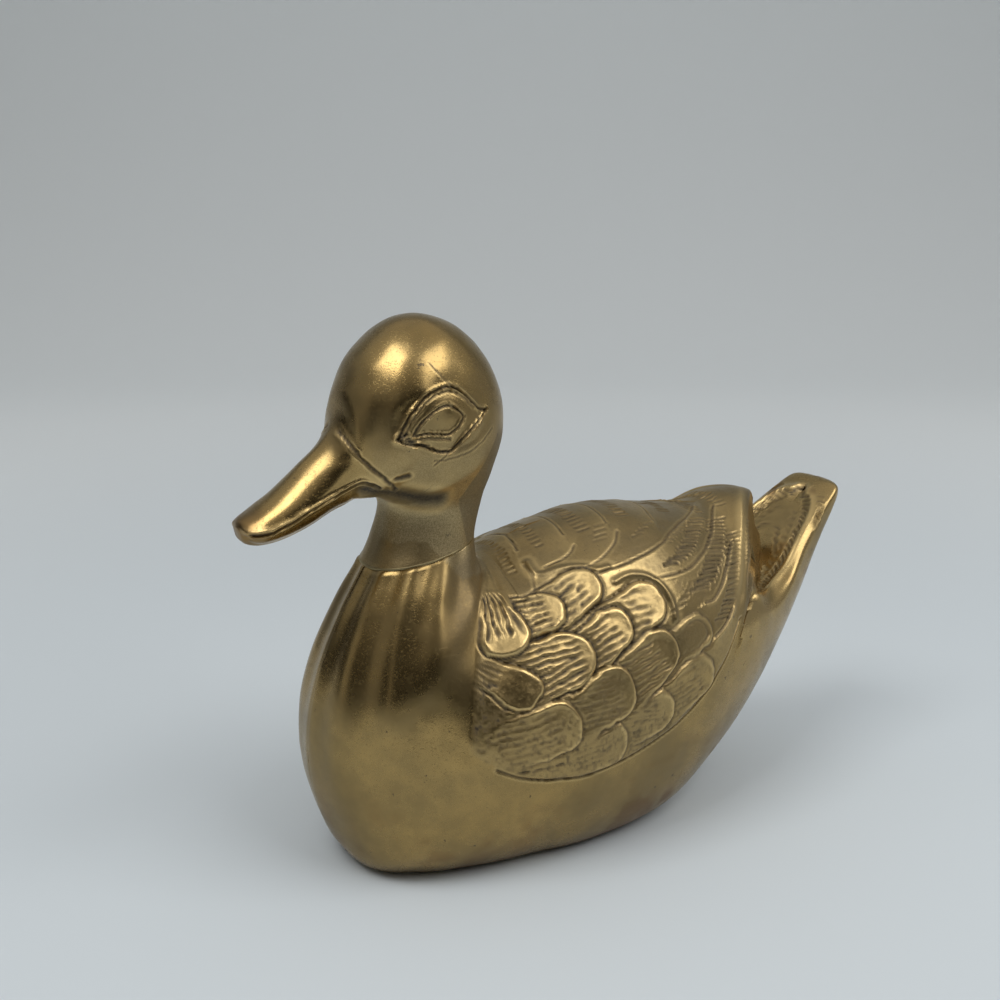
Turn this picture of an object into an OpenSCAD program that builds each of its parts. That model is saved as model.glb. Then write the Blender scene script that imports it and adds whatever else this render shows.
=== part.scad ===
// Hollow cast brass duck: two body halves brazed along the mid-plane, a head casting on a spigot,
// and a closing plate let into the floor. The duck faces +X, +Y is its left side, +Z is up, and
// the origin is at the middle of its bounding box, on the surface that it stands on.

/* [Body] */
// Length of the trunk, from the foot of the nape back to the tip of the tail
trunk_l = 156; // [146:1:166]
// Width of the body at its widest
body_w = 101; // [93:1:109]
// Height of the back
back_h = 111; // [107:1:116]
// How far the breast stands ahead of the foot of the nape
breast_l = 66.5; // [62:0.5:70]
// Height of the foot of the nape
nape_h = 101.5; // [98:0.5:104]
// Width of the flat that the duck stands on
floor_w = 56; // [50:1:60]

/* [Tail] */
// Height of the tip of the tail
tail_h = 108; // [102:1:114]
// Width of the tail near its tip
tail_w = 33; // [27:1:39]

/* [Wings] */
// Length of the folded wings behind the foot of the nape
wing_l = 122; // [118:1:126]
// How far the rear edge of a wing runs forward from its tip to the flank
wing_sweep = 56; // [50:1:62]
// Height of a wing above the flank
wing_step = 1; // [0.6:0.1:1.4]
// Height of a feather above its wing
feather_rise = 1.1; // [0.7:0.1:1.5]
// Height of the ridge ahead of a wing's rear edge
ridge_rise = 1.1; // [0.6:0.1:1.6]
// Depth of the dish in the top of the tail
tail_dish = 0.8; // [0.4:0.1:1.2]

/* [Head and neck] */
// Distance of the throat ahead of the foot of the nape
throat_x = 38.5; // [36:0.5:41]
// Height of the throat, where the chin meets the neck
throat_h = 121; // [118:0.5:124]
// Width of the neck at its joint
neck_w = 35; // [33:0.5:38]
// Length of the head, from its back to the root of the bill
head_l = 57; // [53:0.5:61]
// Height of the head above the throat
head_h = 63; // [59:0.5:67]
// Width of the head
head_w = 47.5; // [43:0.5:52]

/* [Bill] */
// Length of the bill ahead of its root
bill_l = 34; // [29:0.5:39]
// Drop of the bill from its root to its tip
bill_drop = 30.5; // [27:0.5:34]
// Width of the bill
bill_w = 20; // [17:0.5:23]

/* [Castings] */
// Thickness of the cast walls
wall = 3; // [2.4:0.1:4]
// Upright thickness of the walls over and under the hollow of the tail
tail_wall = 5; // [4:0.5:7]
// Outer diameter of the spigot below the head
spigot_d = 24; // [21:0.5:25]
// Bore of the spigot
spigot_bore = 17; // [13:0.5:18]
// Length of the spigot below the neck joint
spigot_l = 12; // [8:0.5:15]
// Clearance all round the spigot
spigot_gap = 0.15; // [0.1:0.05:0.3]

/* [Closing plate] */
// Length of the plate
plate_l = 84; // [70:1:88]
// Width of the plate
plate_w = 36; // [28:1:40]
// Thickness of the plate
plate_t = 1.8; // [1.4:0.1:2]
// Distance of the middle of the plate behind the foot of the nape
plate_back = 8; // [5:1:12]
// Clearance all round the plate
plate_gap = 0.2; // [0.1:0.05:0.3]
// Width of the ledge that the plate is seated on
ledge_w = 3; // [2:0.25:4]

/* [Brazing] */
// Depth of the groove round the neck joint
neck_groove = 1.5; // [1:0.1:2]
// Depth of the groove round the plate
plate_groove = 0.8; // [0.6:0.1:1]
// Width of the groove round the plate
plate_groove_w = 1.4; // [1:0.1:2]
// Thickness of the bead along the inside of the seam
bead_t = 1.6; // [1.2:0.1:2.4]
// Clearance between the bead and the lining
bead_gap = 0.1; // [0.05:0.05:0.2]

/* [Hidden] */

brass = "darkgoldenrod";
filler = "goldenrod";
round_fn = 96;

// A section of the duck is a ring in a plane square to the mid-plane. Its row holds the top of the
// ring [x, z], the foot of the ring [x, z], its half width, the level of its widest point between
// foot and top, the half width of the flat at its foot, and how boxy it is below and above.
// All heights and lengths in the tables are percentages of the sizes named at their heads.

// Trunk: place in steps behind the nape, back over the wings (back_h), back under them (tail_h),
// keel (tail_h), share of the body's and of the tail's width, widest level, flat (floor_w),
// and how boxy the section is above with the wings and without them
trunk = [
    [0,     92,   94.5, 0,    97,  0,   49,   91,  1.75, 1.75],
    [1,     96.5, 98,   0,    100, 0,   47,   98,  1.75, 2],
    [2,     98.5, 100,  0,    100, 0,   48,   98,  1.8,  2],
    [3,     100,  100,  0,    99,  0,   49,   92,  1.9,  2],
    [4,     100,  99,   0,    97,  0,   51,   78,  2,    2],
    [5,     98.5, 95,   1,    93,  0,   53,   52,  2,    2.2],
    [6,     96.5, 88,   4.5,  86,  0,   58,   18,  2,    2.4],
    [7,     95.5, 80,   12,   75,  7,   66,   4,   2,    2.8],
    [8,     98.5, 72,   24,   55,  35,  78,   4,   2,    3.4],
    [9,     97,   74,   39,   30,  72,  76,   4,   2,    4],
    [10,    87,   84.5, 55.5, 10,  97,  65,   4,   2,    5],
    [11,    92,   94,   75,   0,   100, 63,   4,   2,    5],
    [11.62, 94,   99.5, 88,   0,   85,  56,   4,   2,    4],
    [11.88, 95,   100,  94.5, 0,   67,  50,   4,   2,    3],
    [12,    96,   99,   96.5, 0,   24,  50,   4,   2,    2]
];

// Breast: top of the ring (breast_l, nape_h), foot of the ring (breast_l, nape_h), share of the
// body's and of the neck's width, flat (floor_w), and how boxy the section is above
breast = [
    [3,    100,   18,    0,    95, 0,   88, 1.8],
    [5.5,  99.8,  39,    0,    92, 0,   75, 1.85],
    [7,    99.8,  61,    0,    86, 0,   54, 1.9],
    [8,    99.9,  80,    2,    80, 0,   24, 2],
    [9,    100.3, 92,    14,   74, 0,   4,  2],
    [10,   101,   100,   32,   67, 1,   4,  2],
    [10.5, 102,   100.5, 51,   58, 10,  4,  2],
    [11,   103.5, 93.5,  70,   40, 36,  4,  2],
    [10.8, 106,   81,    87.5, 18, 74,  4,  2],
    [10,   110,   68,    102,  0,  100, 4,  2],
    [8,    115.3, 61,    112,  0,  91,  4,  2]
];

// Head: top of the ring and foot of the ring from the throat (head_l, head_h), width (head_w),
// and how boxy the section is below
head = [
    [-62.5, 6,    0,    0,    67,  2],
    [-68,   22,   0,    5.5,  80,  2.2],
    [-73,   39.5, 2,    7.5,  93,  2.4],
    [-72,   59,   4.5,  8.5,  98,  2.4],
    [-63,   78,   8,    9.5,  100, 2.4],
    [-46.5, 93.5, 11.5, 10,   99,  2.4],
    [-25.5, 100,  14,   10,   99,  2.4],
    [-4.5,  96,   16.5, 10,   90,  2.4],
    [12.5,  83.5, 19.5, 9.5,  74,  2.3],
    [23,    66.5, 22,   8.5,  59,  2.2],
    [27,    51.5, 25.5, 7,    50,  2.2]
];

// Bill: top of the ring and foot of the ring from the root (bill_l, bill_drop), width (bill_w),
// flat (bill_w), and how boxy the section is above
bill = [
    [13,  -21,   9,    -96.5,  105, 10, 1.7],
    [35,  -43.5, 31,   -108,   100, 10, 1.7],
    [60,  -67,   57,   -118,   100, 10, 1.8],
    [82,  -83.5, 79,   -121.5, 95,  10, 2],
    [96,  -92.5, 93,   -118,   70,  10, 2],
    [100, -100,  98,   -112.5, 30,  10, 2]
];

// Feathers of a wing, the front ones last, because they lie over the others: base and end, each as
// place ahead of the nape (trunk_l) and degrees up from the middle of the flank, and the radii of
// both ends (body_w)
feathers = [
    [-27,   9,    -35.5, 7,    7,   8],
    [-27,   27.5, -37,   24.5, 6,   6.5],
    [-16.5, -2.5, -24,   -3,   7,   7.5],
    [-5,    -9,   -11,   -10,  7,   8],
    [-14,   40,   -24,   38,   9,   8],
    [-15.5, 20.5, -24.5, 19.5, 8,   8.5],
    [-2.5,  52.5, -12,   51,   8,   7.5],
    [-6.5,  32,   -15.5, 32,   7.5, 7.5],
    [-4,    9,    -12.5, 8.5,  8,   8.5],
    [5,     15,   -4,    18.5, 6,   5.5],
    [5,     28.5, -4.5,  28.5, 7,   6.5],
    [5,     46,   -1.5,  46,   8,   7.5],
    [10,    0,    1,     0,    8,   9.5],
    [13,    30,   8,     18,   4,   7],
    [6.5,   58.5, 8,     40,   4,   6.5]
];

// Lower limit of a wing in degrees at places ahead of the nape (trunk_l), and the reverse for its
// front limit
wing_foot = [[-52, 23], [-48, 17], [-45, 9.5], [-41, 3], [-36.5, -4], [-31.5, -9.5], [-26, -13.5],
             [-18, -18], [-10, -20], [-4, -21.5], [3, -20.5], [8.5, -18], [14, -14], [17, -10]];
wing_front = [[-10, 17], [0, 19], [7, 18], [20, 16.5], [35, 14.5], [48, 13], [60, 10], [66, 7.5]];

// Angles round a section, closest together where the feathers are
side_angles = [-90, -77, -64, -51, -38, -25, -12, -6, each [0:4:56], 62, 68, 74, 80, 85, 90];

// Counts of rings along the pieces and of steps round a section
section_steps = len(side_angles) - 1;
hind_rings = 9;
wing_rings = 24;
rings_per_row = 2;

function share(percent, size) = percent * size / 100;

// Places of the rows along the duck: the nape, the neck joint and the tip of the bill
nape_row = len(trunk) - 1;
joint_breast_row = 10;
joint_row = nape_row + joint_breast_row;
tip_row = nape_row + len(breast) + len(head) + len(bill);
trunk_step = trunk_l / trunk[nape_row][0];
groove_rows = 0.08;

// Places that several pieces share
last_head = head[len(head) - 1];
bill_root = [throat_x + share(last_head[0], head_l), throat_h + share(last_head[1], head_h)];
mid_x = (bill_root[0] + bill_l - trunk_l) / 2;
plate_x = -plate_back;

// Widest level, flat and boxiness of the sections that need none of their own
mid_level = 0.5;
round_box = 2;
bill_box = 2.2;
least_flat = 1;

// Lowest angle round a section that the rear edge of a wing reaches
wing_low_phi = -12;

function trunk_row(t, winged) =
    let (
        top = winged ? share(t[1], back_h) : share(t[2], tail_h),
        bare_top = share(t[2], tail_h),
        keel = share(t[3], tail_h),
        widest = keel + share(t[6], bare_top - keel),
        x = -t[0] * trunk_step
    )
    [x, top, x, keel, share(t[4], body_w / 2) + share(t[5], tail_w / 2),
     (widest - keel) / (top - keel), share(t[7], floor_w / 2), round_box, winged ? t[8] : t[9]];

function breast_row(b) =
    [share(b[0], breast_l), share(b[1], nape_h), share(b[2], breast_l), share(b[3], nape_h),
     share(b[4], body_w / 2) + share(b[5], neck_w / 2), mid_level, share(b[6], floor_w / 2),
     round_box, b[7]];

function head_row(r) =
    [throat_x + share(r[0], head_l), throat_h + share(r[1], head_h),
     throat_x + share(r[2], head_l), throat_h + share(r[3], head_h),
     share(r[4], head_w / 2), mid_level, least_flat, r[5], round_box];

function bill_row(b) =
    [bill_root[0] + share(b[0], bill_l), bill_root[1] + share(b[1], bill_drop),
     bill_root[0] + share(b[2], bill_l), bill_root[1] + share(b[3], bill_drop),
     share(b[4], bill_w / 2), mid_level, share(b[5], bill_w / 2), bill_box, b[6]];

function all_rows(winged) = concat(
    [for (i = [nape_row:-1:0]) trunk_row(trunk[i], winged)],
    [for (b = breast) breast_row(b)],
    [for (r = head) head_row(r)],
    [for (b = bill) bill_row(b)]
);

winged_rows = all_rows(true);
bare_rows = all_rows(false);

// Smooth curve through the rows, at the real place s along them
function curve(a, b, c, d, t) =
    (2 * b + (c - a) * t + (2 * a - 5 * b + 4 * c - d) * t * t
     + (3 * b - a - 3 * c + d) * t * t * t) / 2;

function row_at(rows, s) =
    let (
        last = len(rows) - 1,
        i = min(floor(s), last - 1)
    )
    curve(rows[max(i - 1, 0)], rows[i], rows[i + 1], rows[min(i + 2, last)], s - i);

// The same section, drawn in by a depth all round
function drawn_in(row, depth) =
    let (
        h = norm([row[0] - row[2], row[1] - row[3]]),
        up = [row[0] - row[2], row[1] - row[3]] / h
    )
    [row[0] - up[0] * depth, row[1] - up[1] * depth, row[2] + up[0] * depth, row[3] + up[1] * depth,
     row[4] - depth, (h * row[5] - depth) / (h - 2 * depth), max(row[6] - depth, least_flat),
     row[7], row[8]];

// Point of a section at side k: side 0 is the middle of its flat, the others go round to its top
function side_phi(k) = side_angles[max(k - 1, 0)];

function power(base, exponent) = base <= 0 ? 0 : pow(base, exponent);

function ring_point(row, k) =
    let (
        phi = side_phi(k),
        round_by = phi < 0 ? row[7] : row[8],
        across = power(cos(phi), 2 / round_by),
        along = power(abs(sin(phi)), 2 / round_by),
        flat = phi < 0 ? row[6] : 0,
        y = k == 0 ? 0 : flat + (row[4] - flat) * across,
        up = phi < 0 ? row[5] * (1 - along) : row[5] + (1 - row[5]) * along
    )
    [row[2] + (row[0] - row[2]) * up - mid_x, y, max(row[3] + (row[1] - row[3]) * up, 0)];

// Rear edge of the wings, as a place along the rows for each side of the section
function edge_place(k) =
    let (swept = wing_sweep * (90 - max(side_phi(k), wing_low_phi)) / (90 - wing_low_phi))
    nape_row - (wing_l - swept) / trunk_step;

// Rings of a body half: from the tip of the tail to the edge of the wings, from there to the nape,
// and up the breast to the neck joint
wing_start = hind_rings + 1;
nape_ring = wing_start + wing_rings;
joint_ring = nape_ring + joint_breast_row * rings_per_row;

function body_place(i, k) =
    i <= hind_rings ? edge_place(k) * i / hind_rings
    : i <= nape_ring ? edge_place(k) + (nape_row - edge_place(k)) * (i - wing_start) / wing_rings
    : i < joint_ring ? nape_row + (i - nape_ring) / rings_per_row
    : i == joint_ring ? joint_row - groove_rows
    : joint_row;

function body_row(i, k) = row_at(i <= hind_rings ? bare_rows : winged_rows, body_place(i, k));

function plain_point(i, k) = ring_point(body_row(i, k), k);

// A point of the flank on the wing's flat map: how far ahead of the nape it lies, and how far up
// round the body from the middle of the flank
flank_h = share(49.5, back_h);
function arc(degrees) = body_w / 2 * degrees * PI / 180;
function on_map(p) = [p[0] + mid_x, arc(atan2(p[2] - flank_h, p[1]))];

function ease(from, to, value) =
    let (t = max(0, min(1, (value - from) / (to - from))))
    t * t * (3 - 2 * t);
function bell(distance, width) = exp(-distance * distance / (width * width));

// Place of a point of the map along a feather, from 0 at its base to 1 at its end, and how far
// outside the feather it lies
function along_feather(f, q) =
    let (
        base = [share(f[0], trunk_l), arc(f[1])],
        axis = [share(f[2], trunk_l), arc(f[3])] - base,
        t = (q - base) * axis / (axis * axis),
        held = max(0, min(1, t))
    )
    [t, norm(q - base - axis * held) - share(f[4] + (f[5] - f[4]) * held, body_w)];

function feather_height(q) =
    let (
        hits = [for (f = feathers) let (a = along_feather(f, q)) if (a[1] < 0) a],
        top = len(hits) == 0 ? [0, 0] : hits[len(hits) - 1]
    )
    feather_rise * (0.2 + 0.8 * ease(0, 0.75, top[0])) * ease(0, -2, top[1]);

// How far a point of the map lies inside the wing's lower and front limits, from 0 to 1
function within_wing(q) =
    let (
        place = 100 * q[0] / trunk_l,
        angle = q[1] / arc(1),
        above = q[1] - arc(lookup(place, wing_foot)),
        behind = share(lookup(angle, wing_front), trunk_l) - q[0]
    )
    ease(-1, 3, above) * ease(-1, 3, behind);

// Relief of the wings, which fades out towards the middle of the back, and the ridge that runs
// ahead of their rear edge
function wing_relief(i, k) =
    let (
        q = on_map(plain_point(i, k)),
        ahead = (body_place(i, k) - edge_place(k)) * trunk_step,
        angle = q[1] / arc(1),
        back = ease(70, 55, angle)
    )
    within_wing(q) * (wing_step * back + feather_height(q)) * ease(0, 5, ahead)
    + ridge_rise * bell(ahead - 7, 4) * ease(25, 45, angle) * ease(92, 75, angle);

function tail_relief(i, k) =
    -tail_dish * ease(50, 65, side_phi(k)) * ease(0, 2, i) * ease(hind_rings, hind_rings - 1, i);

function relief(i, k) =
    i <= hind_rings ? tail_relief(i, k)
    : i < joint_ring - rings_per_row && side_phi(k) >= wing_low_phi - 13 ? wing_relief(i, k)
    : 0;

function body_point(i, k) =
    ring_point(drawn_in(body_row(i, k), i > joint_ring ? neck_groove : -relief(i, k)), k);

// Rings of the cavity run beside the body's rings, under the lower of the two backs
cavity_first = 6;
cavity_last = joint_ring - rings_per_row;
back_rows = 4;
thicker_from = nape_row - back_rows;
thicker_over = 3;

function cavity_depth(s) =
    wall + (tail_wall - wall) * max(0, min(1, (thicker_from - s) / thicker_over));

function point_within(i, k, gap) =
    let (s = body_place(i, k))
    ring_point(drawn_in(row_at(bare_rows, s), cavity_depth(s) + gap), k);

function cavity_point(i, k) = point_within(i, k, 0);

// Triangles that fill a flat patch, and the removal of those that have shrunk to a line
function patch(p) = [for (j = [1:len(p) - 2]) [p[0], p[j + 1], p[j]]];
function kept(faces) = [for (f = faces) if (f[0] != f[1] && f[1] != f[2] && f[2] != f[0]) f];

top_side = section_steps + 1;
side_count = top_side + 1;
body_outer_count = (joint_ring + 2) * side_count;

// A wing meets the flank below its widest level, so both share the points there
function outer_at(i, k) =
    (i == wing_start && side_phi(k) <= 0 ? hind_rings : i) * side_count + k;
function inner_at(i, k) =
    body_outer_count + ((i == wing_start ? hind_rings : i) - cavity_first) * side_count + k;

// One half of the body, on the left of the mid-plane, before it is bored and opened below
module half_shell() {
    outer_points = [for (i = [0:joint_ring + 1]) for (k = [0:top_side]) body_point(i, k)];
    inner_points = [for (i = [cavity_first:cavity_last]) for (k = [0:top_side]) cavity_point(i, k)];
    skin = [for (i = [0:joint_ring]) for (k = [0:top_side - 1])
        each patch([outer_at(i, k), outer_at(i, k + 1), outer_at(i + 1, k + 1), outer_at(i + 1, k)])];
    lining = [for (i = [cavity_first:cavity_last - 1]) for (k = [0:top_side - 1])
        each patch([inner_at(i, k), inner_at(i + 1, k), inner_at(i + 1, k + 1), inner_at(i, k + 1)])];
    solid_rings = [each [0:1:cavity_first - 2], each [cavity_last + 1:1:joint_ring]];
    solid_seam = [for (i = solid_rings)
        each patch([outer_at(i, 0), outer_at(i + 1, 0),
                    outer_at(i + 1, top_side), outer_at(i, top_side)])];
    rear_seam = patch([
        outer_at(cavity_first - 1, 0), outer_at(cavity_first, 0), inner_at(cavity_first, 0),
        inner_at(cavity_first, top_side), outer_at(cavity_first, top_side),
        outer_at(cavity_first - 1, top_side)
    ]);
    front_seam = patch([
        outer_at(cavity_last + 1, 0), outer_at(cavity_last + 1, top_side),
        outer_at(cavity_last, top_side), inner_at(cavity_last, top_side), inner_at(cavity_last, 0),
        outer_at(cavity_last, 0)
    ]);
    back_seam = [for (i = [cavity_first:cavity_last - 1]) if (i != hind_rings)
        each patch([outer_at(i + 1, top_side), outer_at(i, top_side),
                    if (i == wing_start) outer_at(hind_rings, top_side),
                    inner_at(i, top_side), inner_at(i + 1, top_side)])];
    keel_seam = [for (i = [cavity_first:cavity_last - 1])
        each patch([outer_at(i, 0), outer_at(i + 1, 0), inner_at(i + 1, 0), inner_at(i, 0)])];
    tail_end = patch([for (k = [top_side:-1:0]) outer_at(0, k)]);
    neck_end = patch([for (k = [0:top_side]) outer_at(joint_ring + 1, k)]);
    cavity_rear = patch([for (k = [0:top_side]) inner_at(cavity_first, k)]);
    cavity_front = patch([for (k = [top_side:-1:0]) inner_at(cavity_last, k)]);
    polyhedron(
        points = concat(outer_points, inner_points),
        faces = kept(concat(skin, lining, solid_seam, rear_seam, front_seam, back_seam, keel_seam,
                            tail_end, neck_end, cavity_rear, cavity_front))
    );
}

// Frame of the neck joint: its middle, and Z square to its plane
joint_section = row_at(winged_rows, joint_row);
joint_length = norm([joint_section[0] - joint_section[2], joint_section[1] - joint_section[3]]);
joint_tilt = atan2(joint_section[1] - joint_section[3], joint_section[2] - joint_section[0]);

module at_neck_joint() {
    translate([(joint_section[0] + joint_section[2]) / 2 - mid_x, 0,
               (joint_section[1] + joint_section[3]) / 2])
        rotate([0, joint_tilt, 0])
            children();
}

// Flat bar with round ends, from one level up to another
module slot(length, width, low, high) {
    translate([plate_x - mid_x, 0, low])
        linear_extrude(high - low) {
            square([length - width, width], center = true);
            for (end = [-1, 1])
                translate([end * (length - width) / 2, 0])
                    circle(d = width, $fn = round_fn);
        }
}

module body_half() {
    cut = 1;
    difference() {
        half_shell();
        at_neck_joint()
            translate([0, 0, -spigot_l - cut])
                cylinder(h = spigot_l + 2 * cut, d = spigot_d + 2 * spigot_gap, $fn = round_fn);
        slot(plate_l + 2 * plate_gap, plate_w + 2 * plate_gap, -cut, plate_t);
        slot(plate_l - 2 * ledge_w, plate_w - 2 * ledge_w, -cut, wall + cut);
    }
}

module body_left_half() {
    color(brass) body_half();
}

module body_right_half() {
    color(brass) mirror([0, 1, 0]) body_half();
}

// Whole ring of a section, up its left side and down its right
function whole_ring(row) = concat(
    [for (k = [0:top_side]) ring_point(row, k)],
    [for (k = [top_side - 1:-1:1]) let (p = ring_point(row, k)) [p[0], -p[1], p[2]]]
);
ring_count = 2 * top_side;
function around(i, j) = i * ring_count + j % ring_count;
function ring_skin(from, to) = [for (j = [0:ring_count - 1])
    each patch([around(from, j), around(from, j + 1), around(to, j + 1), around(to, j)])];

// Rings of the head from the neck joint to the tip of the bill, and of the cavity, whose floor lies
// a little above the joint
head_rings = (tip_row - joint_row) * rings_per_row;
head_cavity_first = 1;
head_cavity_last = 22;

function head_skin_row(i) =
    row_at(winged_rows, joint_row + (i == 1 ? groove_rows : (i - 1) / rings_per_row));

function head_cavity_row(i) =
    drawn_in(row_at(winged_rows, joint_row + i / rings_per_row), wall);

// Closed solid through whole rings, all alike in their number of points
module through_rings(rings) {
    last = len(rings) - 1;
    polyhedron(
        points = [for (ring = rings) each ring],
        faces = concat(
            patch([for (j = [ring_count:-1:1]) around(0, j)]),
            [for (i = [0:last - 1]) each ring_skin(i, i + 1)],
            patch([for (j = [0:ring_count - 1]) around(last, j)])
        )
    );
}

module head_outside() {
    through_rings([
        whole_ring(drawn_in(row_at(winged_rows, joint_row), neck_groove)),
        for (i = [1:head_rings + 1]) whole_ring(head_skin_row(i))
    ]);
}

module head_core() {
    through_rings([for (i = [head_cavity_first:head_cavity_last]) whole_ring(head_cavity_row(i))]);
}

module head_casting() {
    seat = 2;
    bore_rise = 8;
    cut = 1;
    color(brass)
        difference() {
            union() {
                head_outside();
                at_neck_joint()
                    translate([0, 0, -spigot_l])
                        cylinder(h = spigot_l + seat, d = spigot_d, $fn = round_fn);
            }
            head_core();
            at_neck_joint()
                translate([0, 0, -spigot_l - cut])
                    cylinder(h = spigot_l + cut + bore_rise, d = spigot_bore, $fn = round_fn);
        }
}

module base_plate() {
    color(brass) {
        slot(plate_l, plate_w, plate_groove, plate_t);
        slot(plate_l - 2 * plate_groove_w, plate_w - 2 * plate_groove_w, 0, plate_groove);
    }
}

module neck_braze() {
    color(filler)
        polyhedron(
            points = [
                each whole_ring(row_at(winged_rows, joint_row - groove_rows)),
                each whole_ring(row_at(winged_rows, joint_row + groove_rows)),
                each whole_ring(drawn_in(row_at(winged_rows, joint_row), neck_groove))
            ],
            faces = concat(ring_skin(0, 1), ring_skin(1, 2), ring_skin(2, 0))
        );
}

// Bead of brazing metal on the lining, along the given rings. Its sides end at the seam, which is
// the foot of the sections where that side is 0 and their top elsewhere.
module bead(rings, sides) {
    reach = 0.5;
    n = len(sides);
    seam = sides[n - 1];
    facing = seam == 0 ? -1 : 1;
    function lining(i, k) = point_within(i, k, bead_gap);
    function flank(i, j) = j == 0
        ? lining(i, sides[0]) * reach + lining(i, sides[1]) * (1 - reach)
        : lining(i, sides[j]);
    function crest(i) =
        let (from = lining(i, seam), to = lining(i, seam == 0 ? top_side : 0))
        from + (to - from) * bead_t / norm(to - from);
    function outline(i) = [
        for (j = [0:n - 1]) let (p = flank(i, j)) [p[0], facing * p[1], p[2]],
        for (j = [n - 2:-1:0]) let (p = flank(i, j)) [p[0], -facing * p[1], p[2]],
        crest(i)
    ];
    count = 2 * n;
    last = len(rings) - 1;
    function at(i, j) = i * count + j % count;
    function on_right(j) = facing > 0 ? j >= n - 1 : j < n - 1;
    polyhedron(
        points = [for (i = rings) each outline(i)],
        faces = concat(
            [for (i = [0:last - 1]) for (j = [0:count - 1])
                each patch(on_right(j)
                    ? [at(i, j + 1), at(i + 1, j + 1), at(i + 1, j), at(i, j)]
                    : [at(i, j), at(i, j + 1), at(i + 1, j + 1), at(i + 1, j)])],
            patch([for (j = [count - 1:-1:0]) at(0, j)]),
            patch([for (j = [0:count - 1]) at(last, j)])
        )
    );
}

// The hollow of the tail is too narrow to braze from within, so the back's bead starts ahead of it
module seam_braze() {
    rings_over_tail = 8;
    rows_over_plate = 4;
    back_start = wing_start + rings_over_tail;
    breast_start = nape_ring + rows_over_plate * rings_per_row;
    color(filler) {
        bead([each [back_start:nape_ring]], [top_side - 1, top_side]);
        bead([each [breast_start:cavity_last - 1]], [2, 1, 0]);
    }
}

module plate_braze() {
    cut = 1;
    color(filler)
        difference() {
            slot(plate_l + 2 * plate_gap, plate_w + 2 * plate_gap, 0, plate_groove);
            slot(plate_l - 2 * plate_groove_w, plate_w - 2 * plate_groove_w, -cut, plate_groove + cut);
        }
}

body_left_half();
body_right_half();
head_casting();
base_plate();
neck_braze();
seam_braze();
plate_braze();
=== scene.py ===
"""Brass duck: the looks of the cast duck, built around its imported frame.

Lengths are in millimetres until a mesh is made, and the duck faces +X with its left side at +Y.
"""

import logging
import math
from dataclasses import dataclass, field
from enum import Enum
from typing import Sequence

import bpy
import numpy as np
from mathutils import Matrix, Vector


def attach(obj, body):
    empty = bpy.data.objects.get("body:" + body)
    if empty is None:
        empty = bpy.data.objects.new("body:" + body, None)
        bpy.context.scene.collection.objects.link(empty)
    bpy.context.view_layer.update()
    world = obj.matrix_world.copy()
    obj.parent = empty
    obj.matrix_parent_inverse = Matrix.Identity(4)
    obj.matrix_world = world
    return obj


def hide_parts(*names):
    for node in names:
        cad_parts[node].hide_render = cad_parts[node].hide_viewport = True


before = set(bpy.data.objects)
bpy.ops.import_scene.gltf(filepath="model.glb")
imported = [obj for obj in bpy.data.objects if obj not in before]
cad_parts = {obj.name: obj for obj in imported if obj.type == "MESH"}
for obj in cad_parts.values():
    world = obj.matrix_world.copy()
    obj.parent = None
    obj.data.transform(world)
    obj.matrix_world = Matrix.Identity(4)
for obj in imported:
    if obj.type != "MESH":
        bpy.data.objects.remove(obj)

LOG = logging.getLogger("duck")
MM = 0.001
SHARP = math.radians(60)
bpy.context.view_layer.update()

FAR = 1e9
TINY = 1e-9

Array = np.ndarray
Line = tuple[tuple[float, float], ...]
Place = tuple[float, float, float]
Colour = tuple[float, float, float]
Socket = bpy.types.NodeSocket
Material = bpy.types.Material
Object = bpy.types.Object
Setting = Socket | Material | Place | float

# Sections of the trunk, breast, head and bill, as percentages of the sizes in DuckForm. A trunk row is
# place behind the nape, back with and without the wings, keel, shares of the body's and the tail's
# width, widest level, flat, and how boxy it is above with and without the wings.
TRUNK = (
    (0, 92, 94.5, 0, 97, 0, 49, 91, 1.75, 1.75),
    (1, 96.5, 98, 0, 100, 0, 47, 98, 1.75, 2),
    (2, 98.5, 100, 0, 100, 0, 48, 98, 1.8, 2),
    (3, 100, 100, 0, 99, 0, 49, 92, 1.9, 2),
    (4, 100, 99, 0, 97, 0, 51, 78, 2, 2),
    (5, 98.5, 95, 1, 93, 0, 53, 52, 2, 2.2),
    (6, 96.5, 88, 4.5, 86, 0, 58, 18, 2, 2.4),
    (7, 95.5, 80, 12, 75, 7, 66, 4, 2, 2.8),
    (8, 98.5, 72, 24, 55, 35, 78, 4, 2, 3.4),
    (9, 97, 74, 39, 30, 72, 76, 4, 2, 4),
    (10, 87, 84.5, 55.5, 10, 97, 65, 4, 2, 5),
    (11, 92, 94, 75, 0, 100, 63, 4, 2, 5),
    (11.62, 94, 99.5, 88, 0, 85, 56, 4, 2, 4),
    (11.88, 95, 100, 94.5, 0, 67, 50, 4, 2, 3),
    (12, 96, 99, 96.5, 0, 24, 50, 4, 2, 2),
)
# Breast: top and foot of the ring, shares of the body's and the neck's width, flat, boxiness above
BREAST = (
    (3, 100, 18, 0, 95, 0, 88, 1.8),
    (5.5, 99.8, 39, 0, 92, 0, 75, 1.85),
    (7, 99.8, 61, 0, 86, 0, 54, 1.9),
    (8, 99.9, 80, 2, 80, 0, 24, 2),
    (9, 100.3, 92, 14, 74, 0, 4, 2),
    (10, 101, 100, 32, 67, 1, 4, 2),
    (10.5, 102, 100.5, 51, 58, 10, 4, 2),
    (11, 103.5, 93.5, 70, 40, 36, 4, 2),
    (10.8, 106, 81, 87.5, 18, 74, 4, 2),
    (10, 110, 68, 102, 0, 100, 4, 2),
    (8, 115.3, 61, 112, 0, 91, 4, 2),
)
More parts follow.
